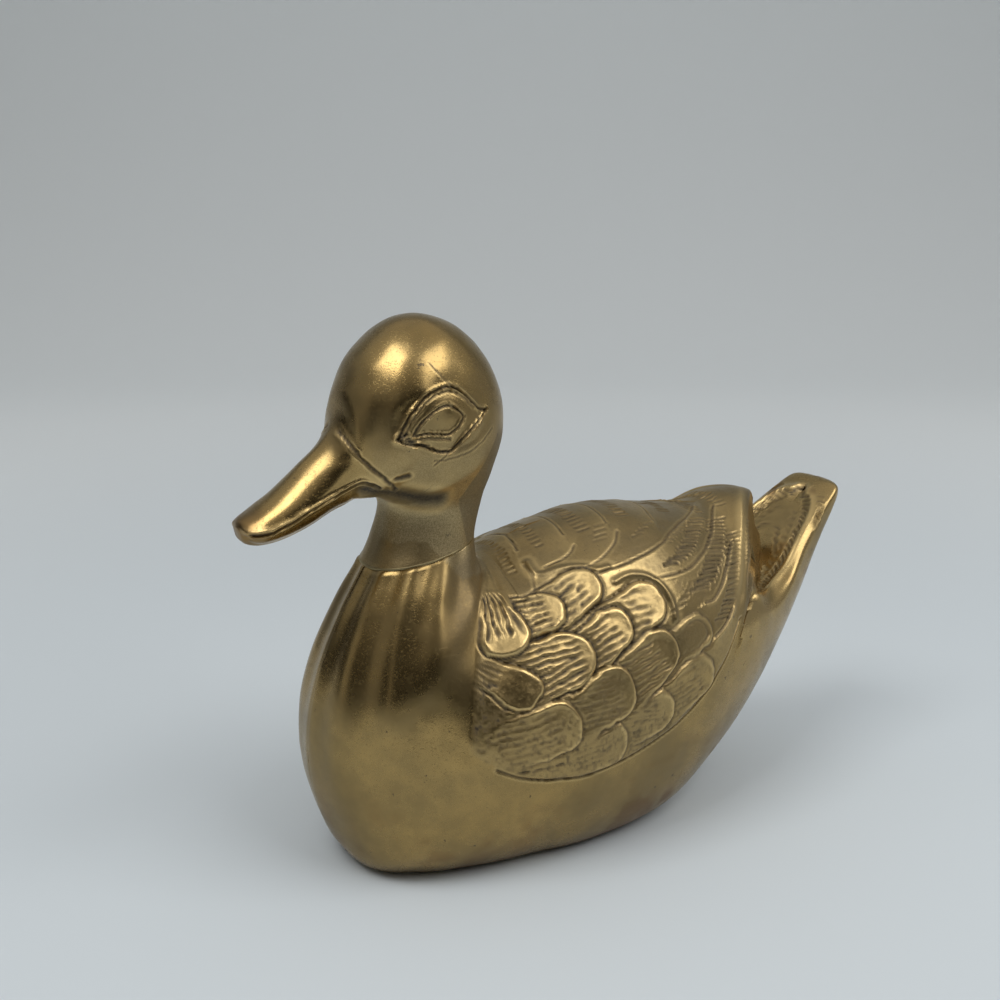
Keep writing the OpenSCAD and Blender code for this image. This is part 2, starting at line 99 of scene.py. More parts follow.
# Head: top and foot of the ring from the throat, width, boxiness below
HEAD = (
    (-62.5, 6, 0, 0, 67, 2),
    (-68, 22, 0, 5.5, 80, 2.2),
    (-73, 39.5, 2, 7.5, 93, 2.4),
    (-72, 59, 4.5, 8.5, 98, 2.4),
    (-63, 78, 8, 9.5, 100, 2.4),
    (-46.5, 93.5, 11.5, 10, 99, 2.4),
    (-25.5, 100, 14, 10, 99, 2.4),
    (-4.5, 96, 16.5, 10, 90, 2.4),
    (12.5, 83.5, 19.5, 9.5, 74, 2.3),
    (23, 66.5, 22, 8.5, 59, 2.2),
    (27, 51.5, 25.5, 7, 50, 2.2),
)
# Bill: top and foot of the ring from its root, width, flat, boxiness above
BILL = (
    (13, -21, 9, -96.5, 105, 10, 1.7),
    (35, -43.5, 31, -108, 100, 10, 1.7),
    (60, -67, 57, -118, 100, 10, 1.8),
    (82, -83.5, 79, -121.5, 95, 10, 2),
    (96, -92.5, 93, -118, 70, 10, 2),
    (100, -100, 98, -112.5, 30, 10, 2),
)
# Lower limit of the satin on the neck, as x and height
SATIN_EDGE = ((44, 99), (50, 100), (54, 100.5), (57, 104), (61, 109), (64, 113), (68, 113.6), (85, 113.2))


class Side(Enum):
    """The two sides of the duck, as the sign of Y."""

    LEFT = 1
    RIGHT = -1


def ease(start: float, end: float, value: Array) -> Array:
    """Smooth step of value from 0 at start to 1 at end.

    Args:
        start: Value at which the step begins; it may lie above end.
        end: Value at which the step is complete.
        value: Numbers to ease.

    Returns:
        Numbers from 0 to 1, shaped like value.
    """
    t = np.clip((value - start) / (end - start), 0.0, 1.0)
    return t * t * (3.0 - 2.0 * t)


def bell(distance: Array, width: float) -> Array:
    """Bell curve of distance: 1 at 0, and small past twice the width."""
    return np.exp(-((distance / width) ** 2))


def smooth_path(points: Line, per_span: int = 7) -> Array:
    """Curve through a few given points.

    Args:
        points: Points that the curve passes through.
        per_span: Steps between two points.

    Returns:
        Points along the curve, one per row.
    """
    p = np.array(points, float)
    p = np.vstack([2 * p[0] - p[1], p, 2 * p[-1] - p[-2]])
    t = np.linspace(0.0, 1.0, per_span, endpoint=False)[:, None]
    spans = []
    for a, b, c, d in zip(p[:-3], p[1:-2], p[2:-1], p[3:]):
        spans.append(0.5 * (2 * b + (c - a) * t + (2 * a - 5 * b + 4 * c - d) * t**2
                            + (3 * b - a - 3 * c + d) * t**3))
    return np.vstack(spans + [p[-2:-1]])


def nearest(points: Array, line: Array) -> tuple[Array, Array]:
    """Finds how far points lie from a line, and on which side of it.

    Args:
        points: Rows of two numbers.
        line: Corners of the line, one per row.

    Returns:
        Distances, and 1 for points on the left of the line or -1 for those on its right.
    """
    best = np.full(len(points), FAR)
    side = np.zeros(len(points))
    for a, b in zip(line[:-1], line[1:]):
        ab = b - a
        t = np.clip((points - a) @ ab / max(ab @ ab, TINY), 0, 1)
        away = points - a - t[:, None] * ab
        d = np.hypot(away[:, 0], away[:, 1])
        nearer = d < best
        best[nearer] = d[nearer]
        cross = ab[0] * away[:, 1] - ab[1] * away[:, 0]
        side[nearer] = np.sign(cross[nearer])
    return best, side


def in_space(flat: Array) -> Array:
    """Rows of two numbers with a third of zero, as noise needs them."""
    return np.column_stack([flat, 0 * flat[:, 0]])


def lofted(rings: int, columns: int) -> list[tuple[int, ...]]:
    """Faces of a closed solid through rings of points, with both ends capped.

    Args:
        rings: Number of rings.
        columns: Number of points round each ring.

    Returns:
        Corners of the faces, as indices of the points ring by ring.
    """
    faces = []
    for i in range(rings - 1):
        row, above = i * columns, (i + 1) * columns
        for j in range(columns):
            k = (j + 1) % columns
            faces.append((row + j, row + k, above + k, above + j))
    faces.append(tuple(range(columns - 1, -1, -1)))
    faces.append(tuple((rings - 1) * columns + j for j in range(columns)))
    return faces


def grid_normals(grid: Array) -> Array:
    """Unit normals of a grid of points, square to its rings and columns.

    Args:
        grid: Points, for rings by columns.

    Returns:
        One normal for each point.
    """
    along = np.gradient(grid, axis=0)
    around = np.gradient(grid, axis=1)
    n = np.cross(around, along)
    size = np.linalg.norm(n, axis=-1, keepdims=True)
    return n / np.maximum(size, TINY)


@dataclass(frozen=True)
class Unevenness:
    """Smooth random lumps in space, the same on every run."""

    seed: int

    def _corner(self, cell: Array) -> Array:
        """Draws a random number for each lattice cell.

        Args:
            cell: Whole numbers of the cells, in rows of three.

        Returns:
            Numbers from -1 to 1.
        """
        # Large primes make one number of the cell's three, and the shifts scramble its bits
        h = cell[..., 0] * 73856093 ^ cell[..., 1] * 19349663 ^ cell[..., 2] * 83492791
        h = (h ^ self.seed * 2654435761) & 0x7FFFFFFF
        h = ((h ^ (h >> 13)) * 1274126177) & 0x7FFFFFFF
        h = ((h ^ (h >> 11)) * 668265263) & 0x7FFFFFFF
        return (h % 20011) / 10005.0 - 1.0

    def at(self, points: Array, size: float) -> Array:
        """Height of the lumps.

        Args:
            points: Places, as rows of x, y, z.
            size: Spacing of the lumps, in the same unit.

        Returns:
            A number from about -1 to 1 for each place.
        """
        p = points / size
        cell = np.floor(p).astype(np.int64)
        f = p - cell
        f = f * f * (3.0 - 2.0 * f)
        total = np.zeros(p.shape[:-1])
        for dx in (0, 1):
            for dy in (0, 1):
                for dz in (0, 1):
                    weight = (np.abs(1 - dx - f[..., 0]) * np.abs(1 - dy - f[..., 1])
                              * np.abs(1 - dz - f[..., 2]))
                    total += weight * self._corner(cell + np.array([dx, dy, dz]))
        return total

    def both_ways(self, points: Array, size: float, shifts: tuple[float, float] = (0.0, 50.0)) -> Array:
        """Two heights for each place, for moving it in a plane.

        Args:
            points: Places, as rows of x, y, z.
            size: Spacing of the lumps.
            shifts: How far the two sets of lumps are moved, so that they differ.

        Returns:
            Rows of two numbers from about -1 to 1.
        """
        return np.column_stack([self.at(points + shift, size) for shift in shifts])


@dataclass(frozen=True)
class DuckForm:
    """The duck's smooth shape: sizes of the casting and the loft through its sections."""

    trunk_l: float = 156.0
    body_w: float = 101.0
    back_h: float = 111.0
    breast_l: float = 66.5
    nape_h: float = 101.5
    floor_w: float = 56.0
    tail_h: float = 108.0
    tail_w: float = 33.0
    wing_l: float = 122.0
    wing_sweep: float = 56.0
    wing_low_phi: float = -12.0
    throat_x: float = 38.5
    throat_h: float = 121.0
    neck_w: float = 35.0
    head_l: float = 57.0
    head_h: float = 63.0
    head_w: float = 47.5
    bill_l: float = 34.0
    bill_drop: float = 30.5
    bill_w: float = 20.0
    wall: float = 3.0
    groove: float = 1.5
    groove_rows: float = 0.05
    joint_breast_row: int = 10

    @property
    def nape(self) -> int:
        """Row at the foot of the nape."""
        return len(TRUNK) - 1

    @property
    def joint(self) -> int:
        """Row at the neck joint."""
        return self.nape + self.joint_breast_row

    @property
    def bill_root_row(self) -> int:
        """Row at the root of the bill."""
        return self.nape + len(BREAST) + len(HEAD)

    @property
    def tip(self) -> int:
        """Row at the tip of the bill."""
        return self.bill_root_row + len(BILL)

    @property
    def trunk_step(self) -> float:
        """Distance between the trunk's even steps."""
        return self.trunk_l / TRUNK[-1][0]

    @property
    def bill_root(self) -> tuple[float, float]:
        """Top of the bill's root, ahead of the nape and above the floor."""
        return (self.throat_x + self.head_l * HEAD[-1][0] / 100,
                self.throat_h + self.head_h * HEAD[-1][1] / 100)

    @property
    def mid_x(self) -> float:
        """Middle of the duck's length, ahead of the foot of the nape."""
        return (self.bill_root[0] + self.bill_l - self.trunk_l) / 2

    def _trunk_row(self, t: Sequence[float], winged: bool) -> tuple[float, ...]:
        """Works out one section of the trunk.

        Args:
            t: Row of the TRUNK table.
            winged: Whether its back runs over the wings.

        Returns:
            Section as rows() gives it.
        """
        bare_top = t[2] * self.tail_h / 100
        top = t[1] * self.back_h / 100 if winged else bare_top
        keel = t[3] * self.tail_h / 100
        widest = keel + t[6] / 100 * (bare_top - keel)
        x = -t[0] * self.trunk_step
        half_width = (t[4] * self.body_w + t[5] * self.tail_w) / 200
        return (x, top, x, keel, half_width, (widest - keel) / (top - keel),
                t[7] * self.floor_w / 200, 2, t[8] if winged else t[9])

    def rows(self, winged: bool) -> Array:
        """All the sections from the tip of the tail to the tip of the bill.

        Args:
            winged: Whether the trunk's back runs over the wings.

        Returns:
            One row a section: top x, z, foot x, z, half width, widest level, flat, boxiness below, above.
        """
        out = [self._trunk_row(t, winged) for t in reversed(TRUNK)]
        for b in BREAST:
            out.append((b[0] * self.breast_l / 100, b[1] * self.nape_h / 100,
                        b[2] * self.breast_l / 100, b[3] * self.nape_h / 100,
                        (b[4] * self.body_w + b[5] * self.neck_w) / 200, 0.5,
                        b[6] * self.floor_w / 200, 2, b[7]))
        for h in HEAD:
            out.append((self.throat_x + h[0] * self.head_l / 100, self.throat_h + h[1] * self.head_h / 100,
                        self.throat_x + h[2] * self.head_l / 100, self.throat_h + h[3] * self.head_h / 100,
                        h[4] * self.head_w / 200, 0.5, 1, h[5], 2))
        root_x, root_z = self.bill_root
        for b in BILL:
            out.append((root_x + b[0] * self.bill_l / 100, root_z + b[1] * self.bill_drop / 100,
                        root_x + b[2] * self.bill_l / 100, root_z + b[3] * self.bill_drop / 100,
                        b[4] * self.bill_w / 200, 0.5, b[5] * self.bill_w / 200, 2.2, b[6]))
        return np.array(out, float)

    def row_at(self, rows: Array, place: Array) -> Array:
        """Sections at real places along the rows.

        Args:
            rows: Table from rows().
            place: Places along the rows, of any shape.

        Returns:
            Sections, with one more axis than place.
        """
        last = len(rows) - 1
        i = np.minimum(np.floor(place).astype(int), last - 1)
        t = (place - i)[..., None]
        a, b, c, d = (rows[np.clip(i + k, 0, last)] for k in (-1, 0, 1, 2))
        return (2 * b + (c - a) * t + (2 * a - 5 * b + 4 * c - d) * t**2
                + (3 * b - a - 3 * c + d) * t**3) / 2

    def drawn_in(self, section: Array, depth: float) -> Array:
        """Draws sections in all round.

        Args:
            section: Sections from row_at().
            depth: How far they are drawn in.

        Returns:
            The smaller sections.
        """
        up = section[..., 0:2] - section[..., 2:4]
        h = np.linalg.norm(up, axis=-1)
        up = up / h[..., None]
        out = section.copy()
        out[..., 0:2] -= up * depth
        out[..., 2:4] += up * depth
        out[..., 4] -= depth
        out[..., 5] = (h * section[..., 5] - depth) / (h - 2 * depth)
        out[..., 6] = np.maximum(section[..., 6] - depth, 1.0)
        return out

    def groove_sections(self, count: int) -> Array:
        """Section at the bottom of the neck's groove, once for each of a number of points."""
        return self.drawn_in(self.row_at(self.rows(True), np.full(count, float(self.joint))), self.groove)

    def point(self, section: Array, phi: Array, flat: Array | float = 1.0) -> Array:
        """Points of sections, on the left side.

        Args:
            section: Sections from row_at().
            phi: Angles round the section in degrees, from -90 at the foot to 90 at the top.
            flat: Share of the flat's half width, below 1 only for points on the flat.

        Returns:
            Points as x, y, z.
        """
        c = np.cos(np.radians(phi))
        s = np.abs(np.sin(np.radians(phi)))
        below = phi < 0
        boxy = np.where(below, section[..., 7], section[..., 8])
        across = np.where(c < TINY, 0.0, np.maximum(c, TINY) ** (2 / boxy))
        along = np.where(s < TINY, 0.0, np.maximum(s, TINY) ** (2 / boxy))
        foot = np.where(below, section[..., 6], 0.0)
        y = (foot + (section[..., 4] - foot) * across) * flat
        level = section[..., 5]
        up = np.where(below, level * (1 - along), level + (1 - level) * along)
        x = section[..., 2] + (section[..., 0] - section[..., 2]) * up - self.mid_x
        z = section[..., 3] + (section[..., 1] - section[..., 3]) * up
        return np.stack([x, y, np.maximum(z, 0.0)], axis=-1)

    def edge_place(self, phi: Array) -> Array:
        """Place of the wings' rear edge along the rows, at each angle round the section."""
        swept = (90 - np.maximum(phi, self.wing_low_phi)) / (90 - self.wing_low_phi)
        return self.nape - (self.wing_l - self.wing_sweep * swept) / self.trunk_step


@dataclass
class Relief:
    """Relief on a patch of skin: heights and tones at the patch's points, gathered cut by cut."""

    uv: Array
    height: Array = field(init=False)
    patina_and_painted_dark: Array = field(init=False)
    polish_and_sheen: Array = field(init=False)
    inside: Array = field(init=False)

    def __post_init__(self) -> None:
        """Starts with a bare patch."""
        self.inside = np.zeros(len(self.uv))
        self.height = np.zeros(len(self.uv))
        self.patina_and_painted_dark = np.zeros(len(self.uv))
        self.polish_and_sheen = np.zeros(len(self.uv))

    def near(self, low: Array, high: Array, reach: float) -> Array:
        """Finds the points in a box.

        Args:
            low: Lower corner of the box.
            high: Upper corner of the box.
            reach: How far the box is widened.

        Returns:
            Indices of the points.
        """
        inside = np.all((self.uv > low - reach) & (self.uv < high + reach), axis=1)
        return np.nonzero(inside)[0]

    def darken(self, at: Array, amount: Array) -> None:
        """Darkens points, by as much as they are still bright."""
        self.patina_and_painted_dark[at] = 1 - (1 - self.patina_and_painted_dark[at]) * (1 - np.clip(amount, 0, 1))


@dataclass(frozen=True)
class Cut:
    """Chisel cut along a path, with a raised ledge on its left."""

    path: Line
    depth: float = 0.55
    width: float = 0.55
    ledge: float = 0.0
    ledge_reach: float = 3.0
    burr: float = 0.12
    tone: float = 0.9
    closed: bool = False

    def carve(self, relief: Relief) -> None:
        """Cuts the path into a patch.

        Args:
            relief: Patch to change.
        """
        points = self.path + self.path[:1] if self.closed else self.path
        line = smooth_path(points)
        reach = max(3 * self.width, 2.5 * self.ledge_reach if self.ledge else 0.0) + 0.5
        at = relief.near(line.min(0), line.max(0), reach)
        if len(at) == 0:
            return
        away, left = nearest(relief.uv[at], line)
        floor = bell(away, self.width)
        rim = bell(away - 2.2 * self.width, 0.8 * self.width)
        relief.height[at] += self.burr * rim - self.depth * floor
        relief.darken(at, self.tone * bell(away, 1.15 * self.width))
        relief.polish_and_sheen[at] += 0.5 * rim
        if self.ledge:
            raised = np.exp(-away / self.ledge_reach) * ease(-0.2, 0.2, left * away)
            relief.height[at] += self.ledge * raised
            relief.polish_and_sheen[at] += 0.35 * raised * (left > 0)


@dataclass(frozen=True)
class Ladder:
    """Row of short punched strokes across a path."""

    path: Line
    pitch: float = 2.0
    stroke: float = 4.0
    lean: float = 90.0
    turned: float | None = None
    depth: float = 0.4
    width: float = 0.4
    tone: float = 0.8
    slip: float = 3.0
    drift: float = 0.07
    lengths: tuple[float, float] = (0.8, 1.1)
    forces: tuple[float, float] = (0.6, 1.1)
    seed: int = 1

    def carve(self, relief: Relief) -> None:
        """Punches the strokes into a patch.

        Args:
            relief: Patch to change.
        """
        line = smooth_path(self.path) if len(self.path) > 2 else np.array(self.path, float)
        run = np.concatenate([[0], np.cumsum(np.linalg.norm(np.diff(line, axis=0), axis=1))])
        count = max(int(run[-1] / self.pitch), 1)
        rng = np.random.default_rng(self.seed)
        for k in range(count + 1):
            where = run[-1] * k / count
            centre, ahead, behind = (
                np.array([np.interp(where + shift, run, axis) for axis in line.T])
                for shift in (0.0, 0.5, -0.5)
            )
            turn = math.atan2(*(ahead - behind)[::-1]) + math.radians(self.lean)
            if self.turned is not None:
                turn = math.radians(self.turned)
            turn += math.radians(rng.normal(0, self.slip))
            centre = centre + rng.normal(0, self.drift * self.pitch, 2)
            half = 0.5 * self.stroke * rng.uniform(*self.lengths)
            self._punch(relief, centre, turn, half, rng.uniform(*self.forces))

    def _punch(self, relief: Relief, centre: Array, turn: float, half: float, force: float) -> None:
        """Punches one stroke.

        Args:
            relief: Patch to change.
            centre: Middle of the stroke.
            turn: Its direction, in radians.
            half: Half its length.
            force: Share of the full depth.
        """
        at = relief.near(centre, centre, half + 3 * self.width)
        if len(at) == 0:
            return
        p = relief.uv[at] - centre
        along = p[:, 0] * math.cos(turn) + p[:, 1] * math.sin(turn)
        across = -p[:, 0] * math.sin(turn) + p[:, 1] * math.cos(turn)
        across = across + 0.06 * along**2 / max(half, 1.0)
        d = np.hypot(np.maximum(np.abs(along) - half, 0), across)
        relief.height[at] -= force * self.depth * bell(d, self.width)
        relief.height[at] += 0.1 * force * bell(d - 2 * self.width, self.width)
        relief.darken(at, force * self.tone * bell(d, 1.1 * self.width))


@dataclass(frozen=True)
class Plume:
    """Small rounded feather that stands proud of those behind it, with barbs cut along it."""

    base: tuple[float, float]
    end: tuple[float, float]
    base_r: float
    end_r: float
    lift: float = 0.95
    dish: float = 0.3
    rim: float = 0.3
    moat: float = 0.6
    barb_pitch: float = 2.1
    barb_depth: float = 0.5
    barb_turn: float = 0.0
    barb_curl: float = 0.0
    barb_from: float = -0.3
    barb_to: float = 0.98
    fan: float = 0.0
    broken: float = 0.3
    tone: float = 1.0
    # Painted sheen on the feather's raised tip
    painted_sheen: float = 0.35
    rings: int = 0
    seed: int = 3

    def lay(self, relief: Relief) -> None:
        """Lays the feather over what the patch holds already.

        Args:
            relief: Patch to change.
        """
        base, end = np.array(self.base), np.array(self.end)
        reach = max(self.base_r, self.end_r) + 4.0
        at = relief.near(np.minimum(base, end), np.maximum(base, end), reach)
        if len(at) == 0:
            return
        length = float(np.linalg.norm(end - base))
        axis = (end - base) / length
        p = relief.uv[at] - base
        lumps = Unevenness(self.seed)
        spots = in_space(relief.uv[at])
        wobble = lumps.at(spots, 5.0) + 0.5 * lumps.at(spots + 31.0, 2.2)
        along = p @ axis
        across = p[:, 1] * axis[0] - p[:, 0] * axis[1]
        place = along / length
        t = np.clip(place, 0, 1)
        radius = self.base_r + (self.end_r - self.base_r) * ease(0, 1, t)
        d = np.hypot(along - t * length, across) - radius
        d = d + 0.5 * wobble + 0.14 * lumps.at(spots + 5.0, 1.1)
        tip = ease(-0.1, 0.8, place)

        inside = ease(0.5, -0.5, d)
        own = self.lift * (0.15 + 0.85 * tip) * (0.45 + 0.55 * ease(0.3, -1.9, d))
        own += self.rim * bell(d + 1.0, 0.7) * tip
        own -= self.dish * ease(-1.6, -4.5, d)
        barbs, dark = self._barbs(d, place, along, across, radius)
        own -= barbs
        relief.height[at] = relief.height[at] * (1 - inside) + own * inside
        relief.patina_and_painted_dark[at] *= 1 - inside
        relief.polish_and_sheen[at] *= 1 - inside
        relief.darken(at, dark * inside)
        # Rim brightened as rubbed wear; the tip's added brightness is a painted sheen
        relief.polish_and_sheen[at] += inside * (0.7 * bell(d + 1.0, 0.8) * tip + self.painted_sheen * tip) * (1 - dark)

        reach_of_moat = ease(-0.25, 0.25, place)
        relief.height[at] -= self.moat * bell(d - 0.4, 0.5) * reach_of_moat * (0.85 + 0.35 * wobble)
        depth = bell(d - 0.3, 0.5 + 0.15 * wobble)
        relief.darken(at, self.tone * depth * reach_of_moat)

    def _barbs(self, d: Array, place: Array, along: Array, across: Array,
               radius: Array) -> tuple[Array, Array]:
        """Depth and darkness of the barbs' grooves.

        Args:
            d: Distance to the feather's outline, negative inside.
            place: Share of the feather's length.
            along: Distance along its axis.
            across: Distance from its axis.
            radius: Its half width there.

        Returns:
            Depth in millimetres and darkness from 0 to 1.
        """
        within = ease(-1.0, -1.9, d) * ease(self.barb_to + 0.2, self.barb_to, place)
        within *= ease(self.barb_from - 0.1, self.barb_from + 0.1, place)
        if self.rings:
            phase = -d / self.barb_pitch
            last = self.rings * self.barb_pitch
            within = ease(-1.0, -1.5, d) * ease(-last - self.barb_pitch, -last, d)
        else:
            turn = math.radians(self.barb_turn)
            side = across * math.cos(turn) - along * math.sin(turn)
            bend = self.barb_curl * np.sign(across) * ease(0.2, 1.3, place) * radius
            phase = (side / (1 + self.fan * (place - 0.5)) + bend) / self.barb_pitch
        noise = Unevenness(self.seed + 7)
        spot = np.column_stack([np.round(phase) * 3.7, place * 5.0, 0 * place])
        phase = phase + 0.2 * noise.at(spot + 9.0, 1.0)
        lane = np.round(phase)
        gap = (phase - lane) * self.barb_pitch
        presence = ease(-0.9 + self.broken, 0.1 + self.broken, noise.at(spot, 1.0) + 0.45)
        line = bell(gap, 0.25 * self.barb_pitch) * within * presence
        line = line * (0.75 + 0.35 * noise.at(spot + 23.0, 0.7))
        return self.barb_depth * line, np.clip(self.tone * line, 0, 1)


class WingChart:
    """Flat map of the body's sides: x along the duck, and the way round it from the widest level up."""

    axis_h: float = 55.0
    radius: float = 50.0

    @classmethod
    def of(cls, points: Array) -> Array:
        """Map places of points in space.

        Args:
            points: Rows of x, y, z.

        Returns:
            Rows of x and the way round, in millimetres.
        """
        angle = np.arctan2(points[:, 2] - cls.axis_h, np.abs(points[:, 1]))
        return np.column_stack([points[:, 0], cls.radius * angle])


@dataclass(frozen=True)
class WingCarving:
    """Feathers of one wing and of the back, on the wing chart."""

    step: float = 1.1
    outline: Line = (
        (46, 58), (50, 52), (54, 42), (57, 30), (60, 18), (62, 6), (64, -4), (62, -8), (56, -12.5),
        (47.5, -15.8), (39, -18), (28, -18.6), (18, -17.5), (6, -15.8), (-6.7, -12), (-15, -8.3),
        (-23, -3.3), (-30, 2.5), (-36, 8.3), (-41, 15), (-46, 22),
    )
    # Front limit of the wing over the shoulder, as the way round and x
    shoulder: Line = ((50, 50.8), (58, 46), (68, 42), (80, 38))
    shoulder_from: float = 51.0
    lower_edge_from: int = 8
    # Ridge ahead of the rear edge, and the lip that rounds the edge itself
    ridge_run: float = 7.0
    ridge_width: float = 2.6
    ridge_height: float = 1.1
    lip_run: float = 4.0
    lip_depth: float = 1.2

    def plumes(self) -> list[Plume]:
        """Lists the scallops.

        Returns:
            The plumes, from the rear ones, which lie lowest, to the front ones.
        """
        return [
            Plume((-9, -1), (-21, 6), 7.5, 8, lift=0.45, rim=0.15, moat=0.35, dish=0.1, barb_pitch=1.8,
                  barb_depth=0.28, barb_turn=12, barb_from=-0.6, broken=0.3, tone=0.5, painted_sheen=0.05, seed=11),
            Plume((-12, 17), (-23, 21), 6, 6.6, lift=0.45, rim=0.25, moat=0.4, dish=0.1, barb_pitch=2.2,
                  barb_depth=0.3, rings=1, tone=0.5, painted_sheen=0.05, seed=12),
            Plume((8, -5), (-2.5, -2.5), 7, 7.4, lift=0.5, rim=0.3, moat=0.35, dish=0.15, barb_pitch=1.6,
                  barb_depth=0.2, barb_turn=20, broken=0.45, tone=0.45, painted_sheen=0.1, seed=13),
            Plume((27, -11), (17, -9), 6.5, 7.8, lift=0.35, rim=0.2, moat=0.3, dish=0.1, barb_pitch=1.8,
                  barb_depth=0.15, broken=0.55, tone=0.4, painted_sheen=0.05, seed=14),
            Plume((12, 27), (-3.5, 33), 9.5, 8.2, lift=1.0, barb_pitch=2.5, barb_turn=18, barb_depth=0.42,
                  broken=0.45, tone=0.8, painted_sheen=0.6, seed=15),
            Plume((8, 9), (-4.5, 17), 9, 8.6, lift=0.9, barb_pitch=2.1, barb_turn=14, barb_depth=0.42,
                  broken=0.25, tone=0.75, painted_sheen=0.45, seed=16),
            Plume((29, 40), (15.5, 44.5), 8.5, 7.6, lift=1.0, barb_pitch=2.4, barb_turn=0, broken=0.4,
                  tone=0.95, painted_sheen=0.5, seed=17),
            Plume((21, 22), (10, 28.3), 8, 7.6, lift=1.05, barb_pitch=2.2, barb_turn=12, broken=0.25,
                  tone=0.95, painted_sheen=0.6, seed=18),
            Plume((45, 19), (28.5, 21.5), 11, 10, lift=1.0, dish=0.2, rim=0.2, barb_pitch=2.3,
                  barb_depth=0.65, barb_curl=0.2, barb_to=1.2, broken=0.0, painted_sheen=0.5, seed=21),
            Plume((26, 2), (14.5, 7.8), 8, 8.8, lift=1.1, dish=0.25, barb_pitch=1.7, barb_turn=24,
                  barb_depth=0.2, broken=0.4, tone=0.6, painted_sheen=0.2, seed=19),
            Plume((43, 40), (31.5, 40), 8.6, 7.9, lift=1.2, dish=0.15, barb_pitch=2.2, barb_depth=0.65,
                  barb_curl=0.14, barb_to=1.15, broken=0.05, painted_sheen=0.55, seed=22),
            Plume((50, -3), (36, 0), 8.5, 9.4, lift=0.7, rim=0.3, moat=0.35, dish=0.2, barb_pitch=2.2,
                  barb_depth=0.18, broken=0.35, tone=0.5, painted_sheen=0.1, seed=23),
            Plume((55, 24), (46.5, 15.5), 5.5, 7.6, lift=0.95, rim=0.2, dish=0.1, barb_pitch=2.3,
                  barb_depth=0.3, fan=0.4, barb_to=0.3, tone=0.75, painted_sheen=0.15, seed=24),
            Plume((45.5, 49), (46.3, 35.5), 6, 8, lift=1.3, dish=0.1, rim=0.25, barb_pitch=2.5,
                  barb_depth=0.85, fan=0.5, barb_curl=0.1, barb_to=0.95, broken=0.0, painted_sheen=0.6, seed=25),
        ]

    def cuts(self) -> list[Cut]:
        """Lists the cut lines of the wing.

        Returns:
            Long lines of the flight feathers, arcs of the back and the open hollows by them.
        """
        long_lines = (
            ((7.5, 48), (-4, 48.5), (-12, 50), (-20, 52.5), (-30, 58), (-40, 64), (-47, 69), (-53, 74)),
            ((-14, 41), (-22, 41.5), (-29, 43.5), (-36, 47), (-42, 51.5), (-48, 57), (-55, 65), (-60, 71)),
            ((-30, 30), (-34, 31), (-39, 35), (-44, 40), (-49, 46), (-54, 51.5)),
            ((-31, 18), (-37, 21.5), (-43, 27)),
        )
        back_arcs = (
            ((25.5, 79), (26.5, 73), (27.6, 68)),
            ((9.7, 79), (9.4, 72), (9.8, 67)),
            ((9, 61.5), (12, 59), (17, 57), (23.3, 56.3)),
            ((-8, 79), (-7.6, 72), (-7, 66)),
            ((-8.3, 61), (-4, 56.8), (2, 53.3), (10.8, 50.8)),
            ((-29, 79), (-28, 72), (-26.5, 67), (-26, 64)),
            ((-48, 79), (-48, 74), (-49, 70)),
        )
        out = [Cut(p, depth=0.38, width=0.42, ledge=0.6, ledge_reach=4.5, tone=0.7) for p in long_lines]
        out += [Cut(p, depth=0.34, width=0.36, ledge=0.22, ledge_reach=4.0, tone=0.7) for p in back_arcs]
        out.append(Cut(((30, 49), (29, 52), (28.3, 56), (28.6, 61)),
                       depth=0.2, width=0.4, burr=0.05, tone=0.35))
        out.append(Cut(((27, 61.5), (27.2, 56.5), (25, 54.2), (18, 53.6), (12, 52), (7, 49.5), (3, 49)),
                       depth=-0.7, width=1.1, burr=0.0, tone=0.0))
        out.append(Cut(((-14.5, 27), (-14.6, 33), (-12.4, 38.5), (-8.5, 42.3), (-3, 44.3), (3, 43.5)),
                       depth=-0.75, width=1.1, burr=0.0, tone=0.0))
        return out

